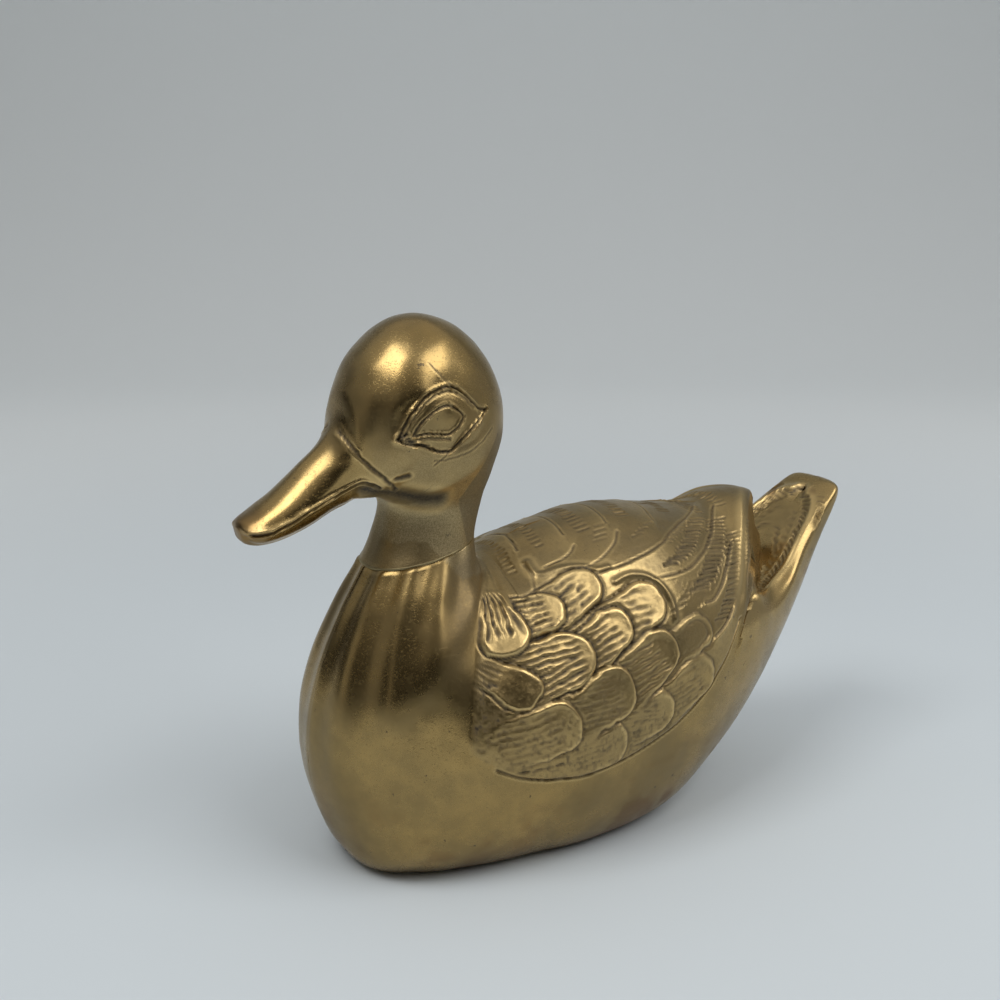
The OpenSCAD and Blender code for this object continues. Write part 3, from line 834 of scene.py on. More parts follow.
    def ladders(self) -> list[Ladder]:
        """Lists the rows of punched strokes.

        Returns:
            Rows down the back, between the long lines and at the front of the wing.
        """
        return [
            Ladder(((33, 60), (31.3, 78.5)), pitch=2.3, stroke=1.8, depth=0.35, width=0.5,
                   tone=0.15, seed=31),
            Ladder(((20, 66), (19.4, 78.5)), pitch=1.9, stroke=3.0, tone=0.7, seed=32),
            Ladder(((2.5, 66), (2.2, 78.5)), pitch=2.0, stroke=4.8, seed=33),
            Ladder(((-15.5, 68), (-16.5, 78.5)), pitch=2.0, stroke=4.5, tone=0.7, seed=34),
            Ladder(((-36, 70), (-37, 78.5)), pitch=2.0, stroke=4.0, tone=0.6, seed=35),
            Ladder(((-51, 69), (-52, 78.5)), pitch=1.9, stroke=4.0, tone=0.6, seed=36),
            Ladder(((-62, 70), (-63, 78.5)), pitch=1.9, stroke=4.0, tone=0.6, seed=37),
            Ladder(((-20, 45), (-26, 47.5), (-33, 52), (-40, 58), (-47, 65)), pitch=2.15, stroke=7.5,
                   turned=-3, width=0.44, depth=0.5, tone=0.8, seed=38),
            Ladder(((-24, 53), (-32, 57.5), (-40, 63)), pitch=2.0, stroke=4.5, turned=-4, width=0.33,
                   depth=0.3, tone=0.5, seed=39),
            Ladder(((-28.5, 35), (-34.5, 39.5), (-40.5, 45), (-46.5, 52), (-51.5, 59), (-55.5, 64)),
                   pitch=2.15, stroke=9.0, turned=-3, width=0.44, depth=0.5, tone=0.8, seed=42),
            Ladder(((-16, 30), (-22, 34), (-27, 38)), pitch=2.2, stroke=5.0, turned=-12, depth=0.25,
                   width=0.33, tone=0.4, seed=41),
            Ladder(((-36, 24), (-41, 29), (-45, 35), (-49, 42), (-53, 49), (-58, 56)), pitch=2.15,
                   stroke=6.5, turned=-3, width=0.44, depth=0.5, tone=0.8, seed=43),
            Ladder(((-57, 44), (-63, 52), (-69, 60)), pitch=1.9, stroke=3.5, turned=-3, width=0.33,
                   depth=0.3, tone=0.5, seed=40),
            Ladder(((0, 60), (-4, 66)), pitch=2.2, stroke=4.5, turned=0, depth=0.3, tone=0.5, seed=44),
            Ladder(((-14, 58), (-22, 63)), pitch=2.2, stroke=4.5, turned=-8, depth=0.25, tone=0.45,
                   seed=45),
            Ladder(((47, -13), (35, -13)), pitch=4.0, stroke=3.0, turned=-3, tone=0.8, seed=46),
            Ladder(((57, 16), (55, 24)), pitch=2.2, stroke=6.0, turned=-50, depth=0.35, tone=0.7, seed=47),
        ]

    def carve(self, points: Array, edge_run: Array) -> Relief:
        """Relief of a wing at points of the bare surface.

        Args:
            points: Rows of x, y, z.
            edge_run: How far each point lies ahead of the wing's rear edge, negative behind it.

        Returns:
            The patch, with its heights and tones.
        """
        uv = WingChart.of(points)
        uv = uv + 0.35 * Unevenness(5).both_ways(in_space(uv), 7.0)
        relief = Relief(uv)
        for cut in self.cuts():
            cut.carve(relief)
        for ladder in self.ladders():
            ladder.carve(relief)
        for plume in self.plumes():
            plume.lay(relief)
        self._edges(relief, edge_run)
        return relief

    def _edges(self, relief: Relief, edge_run: Array) -> None:
        """Raises the wing above the body, and gives its rear edge a ridge and a rounded lip.

        Args:
            relief: Patch to change.
            edge_run: How far each point lies ahead of the wing's rear edge.
        """
        x, v = relief.uv.T
        behind = edge_run < 0
        inside = np.where(behind, 0.0, self._inside(relief.uv))
        relief.inside = inside
        step = self.step * inside * ease(62, 46, v) * (1 - 0.6 * ease(46, 56, x))
        relief.height = np.where(behind, 0.0, relief.height * inside + step)
        relief.patina_and_painted_dark = np.where(behind, 0.0, relief.patina_and_painted_dark * inside)
        self._pit(relief, inside)
        relief.polish_and_sheen = np.where(behind, 0.0, relief.polish_and_sheen * inside)
        high = ease(22, 40, v) * ~behind
        ridge = bell(edge_run - self.ridge_run, self.ridge_width) * high * ease(80, 66, v)
        lip = ease(self.lip_run, 0.0, edge_run) * high
        smooth = 1 - 0.85 * bell(edge_run - 6.5, 3.2) * ease(22, 32, v)
        relief.height *= smooth
        relief.patina_and_painted_dark *= smooth
        relief.height += self.ridge_height * ridge - self.lip_depth * lip**2
        relief.polish_and_sheen += 0.9 * ridge
        lower = Cut(self.outline[self.lower_edge_from:], depth=0.5, width=0.42, burr=0.08, tone=0.75)
        lower.carve(relief)

    def _pit(self, relief: Relief, inside: Array) -> None:
        """Pits the wing all over, most of all along its dark front.

        Args:
            relief: Patch to change.
            inside: 1 for points on the wing, 0 elsewhere.
        """
        flat = in_space(relief.uv)
        x, v = relief.uv.T
        front = ease(48, 54, x) * ease(27, 20, v) * ease(-8, 2, v)
        low = ease(14, -4, v)
        rough = np.clip(0.3 + 0.5 * low + 0.7 * front, 0, 1) * inside
        fine, coarse = Unevenness(81).at(flat, 0.9), Unevenness(82).at(flat, 1.7)
        pits = ease(0.25, 0.75, fine) * rough + 0.8 * ease(0.45, 0.8, coarse) * rough
        relief.height -= 0.13 * pits
        relief.darken(np.arange(len(x)), 0.45 * pits + 0.35 * front * inside * ease(-0.4, 0.6, coarse))

    def _inside(self, uv: Array) -> Array:
        """How far points lie inside the wing's outline, eased over its step.

        Args:
            uv: Points on the wing chart.

        Returns:
            1 inside, 0 outside.
        """
        away, left = nearest(uv, smooth_path(self.outline))
        x, v = uv.T
        front = np.interp(v, *np.array(self.shoulder).T)
        inward = np.where(v > self.shoulder_from, (front - x) * 0.85, -left * away)
        return ease(-0.2, 1.8, inward)


@dataclass(frozen=True)
class TailCarving:
    """Ridge, hollow and punched strokes of the tail, in plan."""

    ridge: Line = (
        (-112, 3), (-110, 8), (-106.5, 12), (-102, 14.5), (-97, 16.5), (-92, 18.3), (-87, 19.8), (-82, 21),
        (-76, 23.5), (-70, 27), (-62, 32),
    )

    def carve(self, points: Array, behind: Array) -> Relief:
        """Relief of the tail at points of the bare surface.

        Args:
            points: Rows of x, y, z.
            behind: 1 for points on the upper side behind the wing, 0 elsewhere.

        Returns:
            The patch, with its heights and tones.
        """
        uv = np.column_stack([points[:, 0], np.abs(points[:, 1])])
        relief = Relief(uv)
        away, left = nearest(uv, smooth_path(self.ridge))
        side = -left * away
        relief.height += 0.9 * bell(side, 1.8) - 0.9 * ease(0.5, 4.0, side)
        relief.polish_and_sheen += 0.6 * bell(side, 1.6) + 0.3
        inner, middle, outer = (
            tuple((x + dx, y + dy) for x, y in self.ridge[start:end])
            for dx, dy, start, end in ((0.5, -3.0, 1, None), (3.0, -7.0, 2, None), (-1.5, 3.0, 1, 4))
        )
        for mark in (
            Ladder(inner, pitch=1.9, stroke=4.6, lean=48, depth=0.45, width=0.32, tone=0.95, seed=51),
            Ladder(middle, pitch=2.6, stroke=2.6, lean=60, depth=0.3, width=0.35, tone=0.5, seed=52),
            Ladder(outer, pitch=1.8, stroke=2.4, lean=60, depth=0.22, width=0.3, tone=0.8, seed=53),
            Ladder(((-90, 9), (-98, 2)), pitch=2.2, stroke=2.5, lean=20, depth=0.35, tone=0.7, seed=54),
            Cut(((-112.5, 0), (-112, 1.5), (-110.5, 2.6)), depth=0.9, width=0.9, tone=0.9),
        ):
            mark.carve(relief)
        relief.height *= behind
        relief.patina_and_painted_dark *= behind
        relief.polish_and_sheen *= behind
        return relief


@dataclass(frozen=True)
class HeadCarving:
    """Chiselled eyes, mouth and root of the bill, in side view."""

    lid: Line = (
        (77.2, 149), (75.8, 151.3), (73.9, 154.8), (71.2, 158.2), (68.2, 161.3), (65, 163), (62, 163.8),
        (59.3, 163.8), (56.6, 162.8), (53.9, 161), (51.2, 158.2), (48.9, 156.2), (45.8, 155.5),
    )
    under_lid: Line = (
        (45.8, 155.5), (48.5, 153.2), (51.6, 151), (54.3, 149), (56.6, 147), (58.9, 144.6), (60.5, 143.8),
        (63.5, 144), (66.6, 145.2), (68.9, 146.3), (72, 147), (75.8, 148), (77.2, 149),
    )
    iris: Line = (
        (72.8, 150.2), (70.8, 153.2), (68.2, 155.5), (65, 157.5), (61.2, 158.5), (58.2, 157), (55.5, 154.8),
        (56.2, 153.2), (58.2, 151), (60.5, 149.5), (63.5, 149.8), (68.2, 150.4),
    )
    mouth: Line = (
        (119.5, 121.5), (114, 122), (108, 124), (102, 126.8), (97, 129), (92, 131), (88, 133),
        (85, 134.4), (82.5, 134), (80.5, 133),
    )
    root: Line = (
        (89.4, 152), (88.9, 149), (87, 145), (85, 141.7), (82.6, 139), (80, 136.5), (76.6, 133.2),
        (75.5, 131.8),
    )
    # Line of the hollow under the chin, whose wide dark cut is painted shade and dark reflection
    chin: Line = ((84, 131.6), (78, 130.6), (72, 129.4), (66, 128), (61, 127.4))
    # Middle and reach of the eyeball and the iris
    eyeball: Line = ((61.5, 153.5), (15.0, 9.0))
    iris_dome: Line = ((63.0, 153.5), (7.5, 4.6))
    iris_foot: Line = ((71.5, 148.9), (68, 149), (64, 148.4), (60.5, 148))
    corner: Line = ((75, 148.6), (72.5, 147.9), (70.5, 147.1), (67, 146.3))
    chips: Line = ((76.4, 149.6), (75.3, 150.4), (74.6, 149), (73.4, 148.3), (76.9, 148.6))
    scratches: tuple[Line, ...] = (
        ((65, 171), (62.5, 168), (60, 165.3), (57.5, 163.5), (54.5, 161.6)),
        ((65, 139.8), (62.5, 141.8), (60.5, 143.5)),
        ((65, 141.2), (60, 141.5), (55, 142.5), (50, 144.5), (46, 147), (43, 149)),
    )
    nick: Line = ((76.6, 136.2), (74.5, 136.5), (72.8, 137))

    def cuts(self) -> list[Cut]:
        """Lists the chisel cuts of the head.

        Returns:
            Cuts of the eye, the chips and scratches by it, the bill's root and the chin.
        """
        inner_lid = tuple((x * 0.955 + 2.8, z - 1.25) for x, z in self.lid[1:-2])
        out = [
            Cut(self.lid, depth=0.75, width=0.36, burr=0.42, tone=1.0),
            Cut(self.under_lid, depth=0.75, width=0.36, burr=0.42, tone=1.0),
            Cut(inner_lid, depth=0.35, width=0.3, burr=0.2, tone=0.7),
            Cut(self.iris, depth=0.6, width=0.34, burr=0.3, tone=0.95, closed=True),
            Cut(self.iris_foot, depth=0.35, width=0.4, burr=0.25, tone=0.7),
            Cut(self.corner, depth=0.4, width=0.3, burr=0.25, tone=0.8),
        ]
        out += [Cut(((x, z), (x - 0.9, z + 0.2)), depth=0.5, width=0.5, burr=0.2, tone=1.0)
                for x, z in self.chips]
        out += [Cut(scratch, depth=0.12, width=0.24, burr=0.05, tone=0.6) for scratch in self.scratches]
        out += [
            Cut(self.nick, depth=0.5, width=0.6, tone=0.9),
            Cut(self.root, depth=0.55, width=0.42, ledge=0.5, ledge_reach=1.3, burr=0.1, tone=0.85),
            # Wide dark cut under the chin: its darkness is painted shade and dark reflection in the hollow
            Cut(self.chin, depth=0.7, width=1.9, burr=0.0, tone=0.9),
        ]
        return out

    def carve(self, points: Array) -> Relief:
        """Relief of the head at points of its bare surface.

        Args:
            points: Rows of x, y, z.

        Returns:
            The patch, with its heights and tones.
        """
        uv = np.column_stack([points[:, 0], points[:, 2]])
        flat, shake = in_space(uv), Unevenness(61)
        uv = uv + 0.2 * shake.both_ways(flat, 2.6)
        uv = uv + 0.16 * shake.both_ways(flat, 0.9, (9.0, 70.0))
        relief = Relief(uv)
        side = ease(2.0, 5.0, np.abs(points[:, 1]))
        for cut in self.cuts():
            cut.carve(relief)
        self._eyeball(relief)
        self._bill(relief, uv)
        relief.height *= side
        relief.patina_and_painted_dark *= side
        relief.polish_and_sheen *= side
        return relief

    def _eyeball(self, relief: Relief) -> None:
        """Domes the eye gently inside its lids, and the iris on it.

        Args:
            relief: Patch to change.
        """
        almond, iris = (
            np.hypot(*((relief.uv - np.array(middle)) / np.array(reach)).T)
            for middle, reach in (self.eyeball, self.iris_dome)
        )
        relief.height += 0.35 * ease(1.0, 0.55, almond) - 0.35 * bell(almond - 1.0, 0.12)
        relief.height += 0.3 * ease(1.0, 0.7, iris)

    def _bill(self, relief: Relief, uv: Array) -> None:
        """Sets the lower mandible in below the mouth, and rounds the edge of the upper one.

        Args:
            relief: Patch to change.
            uv: Its points in side view.
        """
        Cut(self.mouth, depth=0.9, width=0.5, burr=0.3, tone=0.85).carve(relief)
        line = np.array(self.mouth[::-1])
        level = np.interp(uv[:, 0], line[:, 0], line[:, 1])
        along = ease(82, 86, uv[:, 0])
        under = ease(0.3, -0.6, uv[:, 1] - level) * along
        relief.height -= 0.8 * under
        edge = bell(uv[:, 1] - level - 1.3, 0.9) * along
        relief.height += 0.35 * edge
        relief.polish_and_sheen += 0.8 * edge


@dataclass(frozen=True)
class Speckle:
    """Noise pattern of a finish, eased from 0 to 1 between two levels."""

    scale: float
    detail: float
    rough: float
    low: float
    high: float


@dataclass
class Wiring:
    """Adds nodes to a tree, and gives short names to those that are used again and again."""

    nodes: bpy.types.Nodes
    links: bpy.types.NodeLinks

    def add(self, kind: str, inputs: dict[str | int, Setting], **options: str | bool) -> bpy.types.Node:
        """Adds a node.

        Args:
            kind: Blender's name for the kind of node.
            inputs: What each input is linked to or set to.
            **options: Settings of the node itself.

        Returns:
            The node.
        """
        node = self.nodes.new(kind)
        for name, value in options.items():
            setattr(node, name, value)
        for name, value in inputs.items():
            if isinstance(value, Socket):
                self.links.new(value, node.inputs[name])
            else:
                node.inputs[name].default_value = value
        return node

    def noise(self, place: Socket, scale: float, detail: float, rough: float) -> Socket:
        """Fractal noise, from 0 to 1, with a number of lumps in a metre."""
        settings = {"Vector": place, "Scale": scale, "Detail": detail, "Roughness": rough}
        return self.add("ShaderNodeTexNoise", settings).outputs["Fac"]

    def attribute(self, name: str) -> Socket:
        """Number that the mesh holds under a name."""
        return self.add("ShaderNodeAttribute", {}, attribute_name=name).outputs["Fac"]

    def ramp(self, value: Socket, low: float, high: float) -> Socket:
        """Value eased from 0 at low to 1 at high."""
        levels = {"Value": value, "From Min": low, "From Max": high}
        return self.add("ShaderNodeMapRange", levels, interpolation_type="SMOOTHSTEP").outputs["Result"]

    def pattern(self, place: Socket, speckle: Speckle) -> Socket:
        """Noise eased between the levels of a speckle."""
        noise = self.noise(place, speckle.scale, speckle.detail, speckle.rough)
        return self.ramp(noise, speckle.low, speckle.high)

    def _math(self, operation: str, a: Socket, b: Socket | float, clamp: bool = False) -> Socket:
        """Result of an operation on two values."""
        return self.add("ShaderNodeMath", {0: a, 1: b}, operation=operation, use_clamp=clamp).outputs[0]

    def scaled(self, value: Socket, factor: float) -> Socket:
        """Value times a fixed factor."""
        return self._math("MULTIPLY", value, factor)

    def product(self, a: Socket, b: Socket) -> Socket:
        """Product of two values."""
        return self._math("MULTIPLY", a, b)

    def sum(self, a: Socket, b: Socket | float) -> Socket:
        """Sum of two values."""
        return self._math("ADD", a, b)

    def larger(self, a: Socket, b: Socket) -> Socket:
        """Larger of two values, kept between 0 and 1."""
        return self._math("MAXIMUM", a, b, clamp=True)

    def azimuth(self, x: Socket, y: Socket) -> Socket:
        """Angle of a direction in plan, in radians."""
        return self._math("ARCTAN2", y, x)

    def band(self, value: Socket, start: float, end: float, soft: float) -> Socket:
        """Value eased to 1 between a start and an end, and 0 outside."""
        past_start = self.ramp(value, start - soft, start + soft)
        return self.product(past_start, self.ramp(value, end + soft, end - soft))

    def dot(self, a: Socket, b: Place) -> Socket:
        """Dot product of a vector and a fixed one."""
        return self.add("ShaderNodeVectorMath", {0: a, 1: b}, operation="DOT_PRODUCT").outputs["Value"]

    def mix(self, factor: Socket, a: Socket | Colour, b: Socket | Colour) -> Socket:
        """Blends two colours.

        Args:
            factor: Share of the second colour, from 0 to 1.
            a: First colour.
            b: Second colour.

        Returns:
            The blend.
        """
        node = self.add("ShaderNodeMix", {}, data_type="RGBA", clamp_factor=True)
        self.links.new(factor, node.inputs["Factor"])
        for name, colour in (("A", a), ("B", b)):
            slot = next(s for s in node.inputs if s.name == name and s.type == "RGBA")
            if isinstance(colour, Socket):
                self.links.new(colour, slot)
            else:
                slot.default_value = (*colour, 1.0)
        return next(s for s in node.outputs if s.type == "RGBA")


@dataclass(frozen=True)
class AgedBrass:
    """Finish of old cast brass: mottled satin metal, dark in its cuts and bright on its edges, with painted
    shade, dark reflections and sheen in its tones.
    """

    name: str
    body: Colour = (0.42, 0.285, 0.108)
    # Bright of rubbed edges, also used for the painted sheen on the feathers' raised tips
    bright: Colour = (0.73, 0.53, 0.235)
    dull: Colour = (0.25, 0.18, 0.08)
    # Near black for the dark of the cuts and spots, also used for painted shade and dark reflections
    grime_and_painted_dark: Colour = (0.035, 0.024, 0.012)
    # Reddish brown of the discolouring, also used for the painted shadow along the foot
    rust_and_shade: Colour = (0.17, 0.085, 0.035)
    sand_dark: Colour = (0.24, 0.195, 0.11)
    sand_light: Colour = (0.48, 0.385, 0.22)
    roughness: float = 0.21
    uses_tones: bool = True
    blotches: Speckle = Speckle(34.0, 4.0, 0.6, 0.3, 0.74)
    mottle: Speckle = Speckle(160.0, 4.0, 0.6, 0.35, 0.7)
    specks: Speckle = Speckle(1100.0, 3.0, 0.7, 0.6, 0.7)
    spots: Speckle = Speckle(230.0, 5.0, 0.7, 0.66, 0.72)
    flecks: Speckle = Speckle(2600.0, 3.0, 0.6, 0.35, 0.68)
    worn: Speckle = Speckle(1300.0, 3.0, 0.7, 0.25, 0.6)
    hairline: Speckle = Speckle(1.0, 2.0, 0.5, 0.6, 0.74)
    # Turn and stretch of the two sets of hairlines
    hairline_runs: tuple[tuple[Place, Place], ...] = (
        ((0.3, 0.9, 0.2), (90.0, 1500.0, 1500.0)),
        ((1.1, 0.2, -0.7), (1600.0, 110.0, 1600.0)),
    )
    bump_strength: float = 0.4
    bump_height: float = 0.12

    def make(self) -> Material:
        """Builds the material.

        Returns:
            A new material with this finish.
        """
        mat = bpy.data.materials.new(self.name)
        mat.use_nodes = True
        tree = Wiring(mat.node_tree.nodes, mat.node_tree.links)
        tree.nodes.clear()
        place = tree.add("ShaderNodeTexCoord", {}).outputs["Object"]
        marks = self._marks(tree, place)
        skin = tree.add("ShaderNodeBsdfPrincipled", {
            "Base Color": self._colour(tree, marks),
            "Roughness": self._roughness(tree, marks),
            "Metallic": tree.sum(tree.scaled(marks["dirt_and_painted_dark"], -0.8), 1.0),
            "Normal": self._bump(tree, place, marks),
        })
        tree.add("ShaderNodeOutputMaterial", {"Surface": skin.outputs["BSDF"]})
        return mat

    def _marks(self, tree: Wiring, place: Socket) -> dict[str, Socket]:
        """Makes the patterns that the parts of the finish share.

        Args:
            tree: Wiring of the material.
            place: Object coordinates.

        Returns:
            Patterns and the mesh's own tones, from 0 to 1, by name.
        """
        marks = {
            "blotches": tree.pattern(place, self.blotches),
            "mottle": tree.pattern(place, self.mottle),
            "specks": tree.pattern(place, self.specks),
            "hairlines": self._hairlines(tree, place),
            "dirt_and_painted_dark": tree.scaled(tree.pattern(place, self.spots), 0.8),
        }
        if self.uses_tones:
            for tone in ("patina_and_painted_dark", "polish_and_sheen", "blasted", "stain_and_shade"):
                marks[tone] = tree.attribute(tone)
            marks["flecks"] = tree.pattern(place, self.flecks)
            worn = tree.sum(tree.scaled(tree.pattern(place, self.worn), 0.4), 0.7)
            # The dark of the cuts, with the painted shade and dark reflections held in the same tone, is
            # mixed in as near black
            marks["dirt_and_painted_dark"] = tree.larger(marks["dirt_and_painted_dark"], tree.product(marks["patina_and_painted_dark"], worn))
        return marks

    def _colour(self, tree: Wiring, marks: dict[str, Socket]) -> Socket:
        """Mixes the colour.

        Args:
            tree: Wiring of the material.
            marks: Patterns from _marks().

        Returns:
            The colour.
        """
        colour = tree.mix(marks["blotches"], self.body, self.dull)
        for mark, share in (("mottle", 0.3), ("specks", 0.45)):
            colour = tree.mix(tree.scaled(marks[mark], share), colour, self.dull)
        if self.uses_tones:
            sandy = tree.mix(marks["flecks"], self.sand_dark, self.sand_light)
            for tone, share, shade in (("blasted", 0.7, sandy), ("polish_and_sheen", 0.8, self.bright),
                                       ("stain_and_shade", 0.8, self.rust_and_shade)):
                colour = tree.mix(tree.scaled(marks[tone], share), colour, shade)
        return tree.mix(marks["dirt_and_painted_dark"], colour, self.grime_and_painted_dark)

    def _roughness(self, tree: Wiring, marks: dict[str, Socket]) -> Socket:
        """Adds up the roughness.

        Args:
            tree: Wiring of the material.
            marks: Patterns from _marks().

        Returns:
            The roughness.
        """
        rough = tree.sum(tree.scaled(marks["blotches"], 0.1), self.roughness)
        for mark, share in (("mottle", 0.03), ("hairlines", 0.08), ("patina_and_painted_dark", 0.3), ("blasted", 0.2),
                            ("stain_and_shade", 0.12)):
            if mark in marks:
                rough = tree.sum(tree.scaled(marks[mark], share), rough)
        return rough

    def _bump(self, tree: Wiring, place: Socket, marks: dict[str, Socket]) -> Socket:
        """Makes the fine grain of the cast skin.

        Args:
            tree: Wiring of the material.
            place: Object coordinates.
            marks: Patterns from _marks().

        Returns:
            The bumped normal.
        """
        relief = tree.sum(tree.scaled(tree.noise(place, 2600.0, 2.0, 0.6), 0.25),
                          tree.scaled(marks["specks"], -0.35))
        relief = tree.sum(relief, tree.scaled(tree.noise(place, 420.0, 2.0, 0.5), 0.3))
        relief = tree.sum(relief, tree.scaled(marks["hairlines"], -0.22))
        if self.uses_tones:
            peened = tree.product(marks["blasted"], tree.noise(place, 1700.0, 2.0, 0.6))
            relief = tree.sum(relief, tree.scaled(peened, 1.8))
        height = {"Height": relief, "Strength": self.bump_strength, "Distance": self.bump_height * MM}
        return tree.add("ShaderNodeBump", height).outputs["Normal"]

    def _hairlines(self, tree: Wiring, place: Socket) -> Socket:
        """Makes fine hairlines in two directions.

        Args:
            tree: Wiring of the material.
            place: Object coordinates.

        Returns:
            Strength of the hairlines, from 0 to 1.
        """
        runs = []
        for turn, stretch in self.hairline_runs:
            drawn = tree.add("ShaderNodeMapping", {"Vector": place, "Rotation": turn, "Scale": stretch})
            runs.append(tree.pattern(drawn.outputs["Vector"], self.hairline))
        return tree.larger(*runs)


def satin(points: Array, lumps: Unevenness) -> Array:
    """Satin left on the neck by its finishing: all that lies above an uneven line round it.

    Args:
        points: Rows of x, y, z.
        lumps: Noise that breaks up the line.

    Returns:
        Strength from 0 to 1 at each point.
    """
    level = np.interp(points[:, 0], *np.array(SATIN_EDGE).T)
    level = level + 0.9 * lumps.at(points, 4.5) + 0.4 * lumps.at(points, 1.6)
    return ease(-0.5, 0.5, points[:, 2] - level)


def mesh_object(name: str, points: Array, faces: list[tuple[int, ...]], tones: dict[str, Array],
                material: Material) -> Object:
    """Makes a mesh object from points in millimetres.

    Args:
        name: Name of the piece.
        points: Rows of x, y, z.
        faces: Corners of the faces.
        tones: Numbers at the points, by attribute name.
        material: Finish of the piece.

    Returns:
        The object, at the origin, in the scene.
    """
    mesh = bpy.data.meshes.new(name)
    mesh.from_pydata((points * MM).tolist(), [], faces)
    for key, values in tones.items():
        attribute = mesh.attributes.new(key, "FLOAT", "POINT")
        attribute.data.foreach_set("value", values.astype(np.float32))
    mesh.polygons.foreach_set("use_smooth", [True] * len(mesh.polygons))
    mesh.materials.append(material)
    mesh.update()
    mesh.set_sharp_from_angle(angle=SHARP)
    obj = bpy.data.objects.new(name, mesh)
    bpy.context.scene.collection.objects.link(obj)
    return obj


def settle(obj: Object) -> None:
    """Turns an object's modifiers into plain mesh and takes them off.

    Args:
        obj: Object to change.
    """
    graph = bpy.context.evaluated_depsgraph_get()
    graph.update()
    mesh = bpy.data.meshes.new_from_object(obj.evaluated_get(graph), depsgraph=graph)
    obj.modifiers.clear()
    old = obj.data
    obj.data = mesh
    mesh.name = obj.name
    if old.users == 0:
        bpy.data.meshes.remove(old)


@dataclass(frozen=True)
class Hollow:
    """What is cut out of the body: its hollow, the bore for the spigot and the seat of the plate."""

    form: DuckForm
    spigot_d: float = 24.3
    spigot_l: float = 12.0
    plate_x: float = -8.0
    plate_l: float = 84.4
    plate_w: float = 36.4
    plate_t: float = 1.8
    ledge: float = 3.2
    columns: int = 40
    rings: int = 70
    first: float = 1.6
    short_of_joint: float = 0.75
    round_steps: int = 48
    past: float = 1.0

    def cutters(self) -> list[Object]:
        """Solids to cut away, closed and slightly overlapping."""
        return [self._core(), self._bore(), self._bar("plate_seat", 0.0, self.plate_t),
                self._bar("plate_opening", self.ledge, self.form.wall + self.past)]

    @staticmethod
    def _tube(name: str, rings: Array) -> Object:
        """Makes a closed solid through rings of points.

        Args:
            name: Name of the solid.
            rings: Points for rings by columns, counterclockwise seen from ahead of the first ring.

        Returns:
            The solid, in the scene.
        """
        mesh = bpy.data.meshes.new(name)
        mesh.from_pydata((rings.reshape(-1, 3) * MM).tolist(), [], lofted(*rings.shape[:2]))
        obj = bpy.data.objects.new(name, mesh)
        bpy.context.scene.collection.objects.link(obj)
        return obj

    def _core(self) -> Object:
        """Makes the hollow, a wall's thickness inside the skin.

        Returns:
            The solid that it leaves.
        """
        form = self.form
        bare, winged = form.rows(False), form.rows(True)
        rows = bare.copy()
        lower = winged[:, 1] < bare[:, 1]
        rows[lower] = winged[lower]
        place = np.linspace(self.first, form.joint - self.short_of_joint, self.rings)
        phi = np.linspace(-90, 90, self.columns)
        section = form.drawn_in(form.row_at(rows, place), form.wall)
        left = form.point(section[:, None, :], np.broadcast_to(phi, (len(place), len(phi))))
        left[:, :, 2] = np.maximum(left[:, :, 2], form.wall)
        left[:, -1, 1] = 0.0
        right = left[:, -2::-1] * np.array([1.0, -1.0, 1.0])
        foot = left[:, :1] * np.array([1.0, 0.0, 1.0])
        return self._tube("core", np.concatenate([foot, left, right], axis=1))

    def _bore(self) -> Object:
        """Makes the bore, square to the neck joint.

        Returns:
            The solid that it leaves.
        """
        form = self.form
        top_x, top_z, foot_x, foot_z = form.row_at(form.rows(True), np.array(float(form.joint)))[:4]
        middle = np.array([(top_x + foot_x) / 2 - form.mid_x, 0.0, (top_z + foot_z) / 2])
        across = np.array([foot_x - top_x, 0.0, foot_z - top_z])
        across /= np.linalg.norm(across)
        axis = np.array([-across[2], 0.0, across[0]])
        turn = np.linspace(0, 2 * math.pi, self.round_steps, endpoint=False)[:, None]
        ring = self.spigot_d / 2 * (np.cos(turn) * across + np.sin(turn) * np.array([0.0, -1.0, 0.0]))
        axis = axis if axis[2] > 0 else -axis
        levels = (-self.spigot_l - self.past, self.past)
        return self._tube("bore", np.stack([middle + axis * level + ring for level in levels]))

    def bar(self, inset: float, steps: int) -> Array:
        """Outline of the plate's round-ended seat.

        Args:
            inset: How far the outline is drawn in.
            steps: Points round each end.

        Returns:
            Rows of x and y.
        """
        radius = self.plate_w / 2 - inset
        reach = (self.plate_l - self.plate_w) / 2
        turn = np.linspace(-math.pi / 2, math.pi / 2, steps)
        front = np.column_stack([reach + radius * np.cos(turn), radius * np.sin(turn)])
        outline = np.concatenate([front, -front])
        return outline + np.array([self.plate_x - self.form.mid_x, 0.0])

    def _bar(self, name: str, inset: float, high: float) -> Object:
        """Makes an upright cut through the plate's seat.

        Args:
            name: Name of the solid.
            inset: How far it is drawn in from the seat's outline.
            high: Its top.

        Returns:
            The solid.
        """
        plan = self.bar(inset, self.round_steps // 2)
        levels = [np.column_stack([plan, np.full(len(plan), level)]) for level in (-self.past, high)]
        return self._tube(name, np.stack(levels))


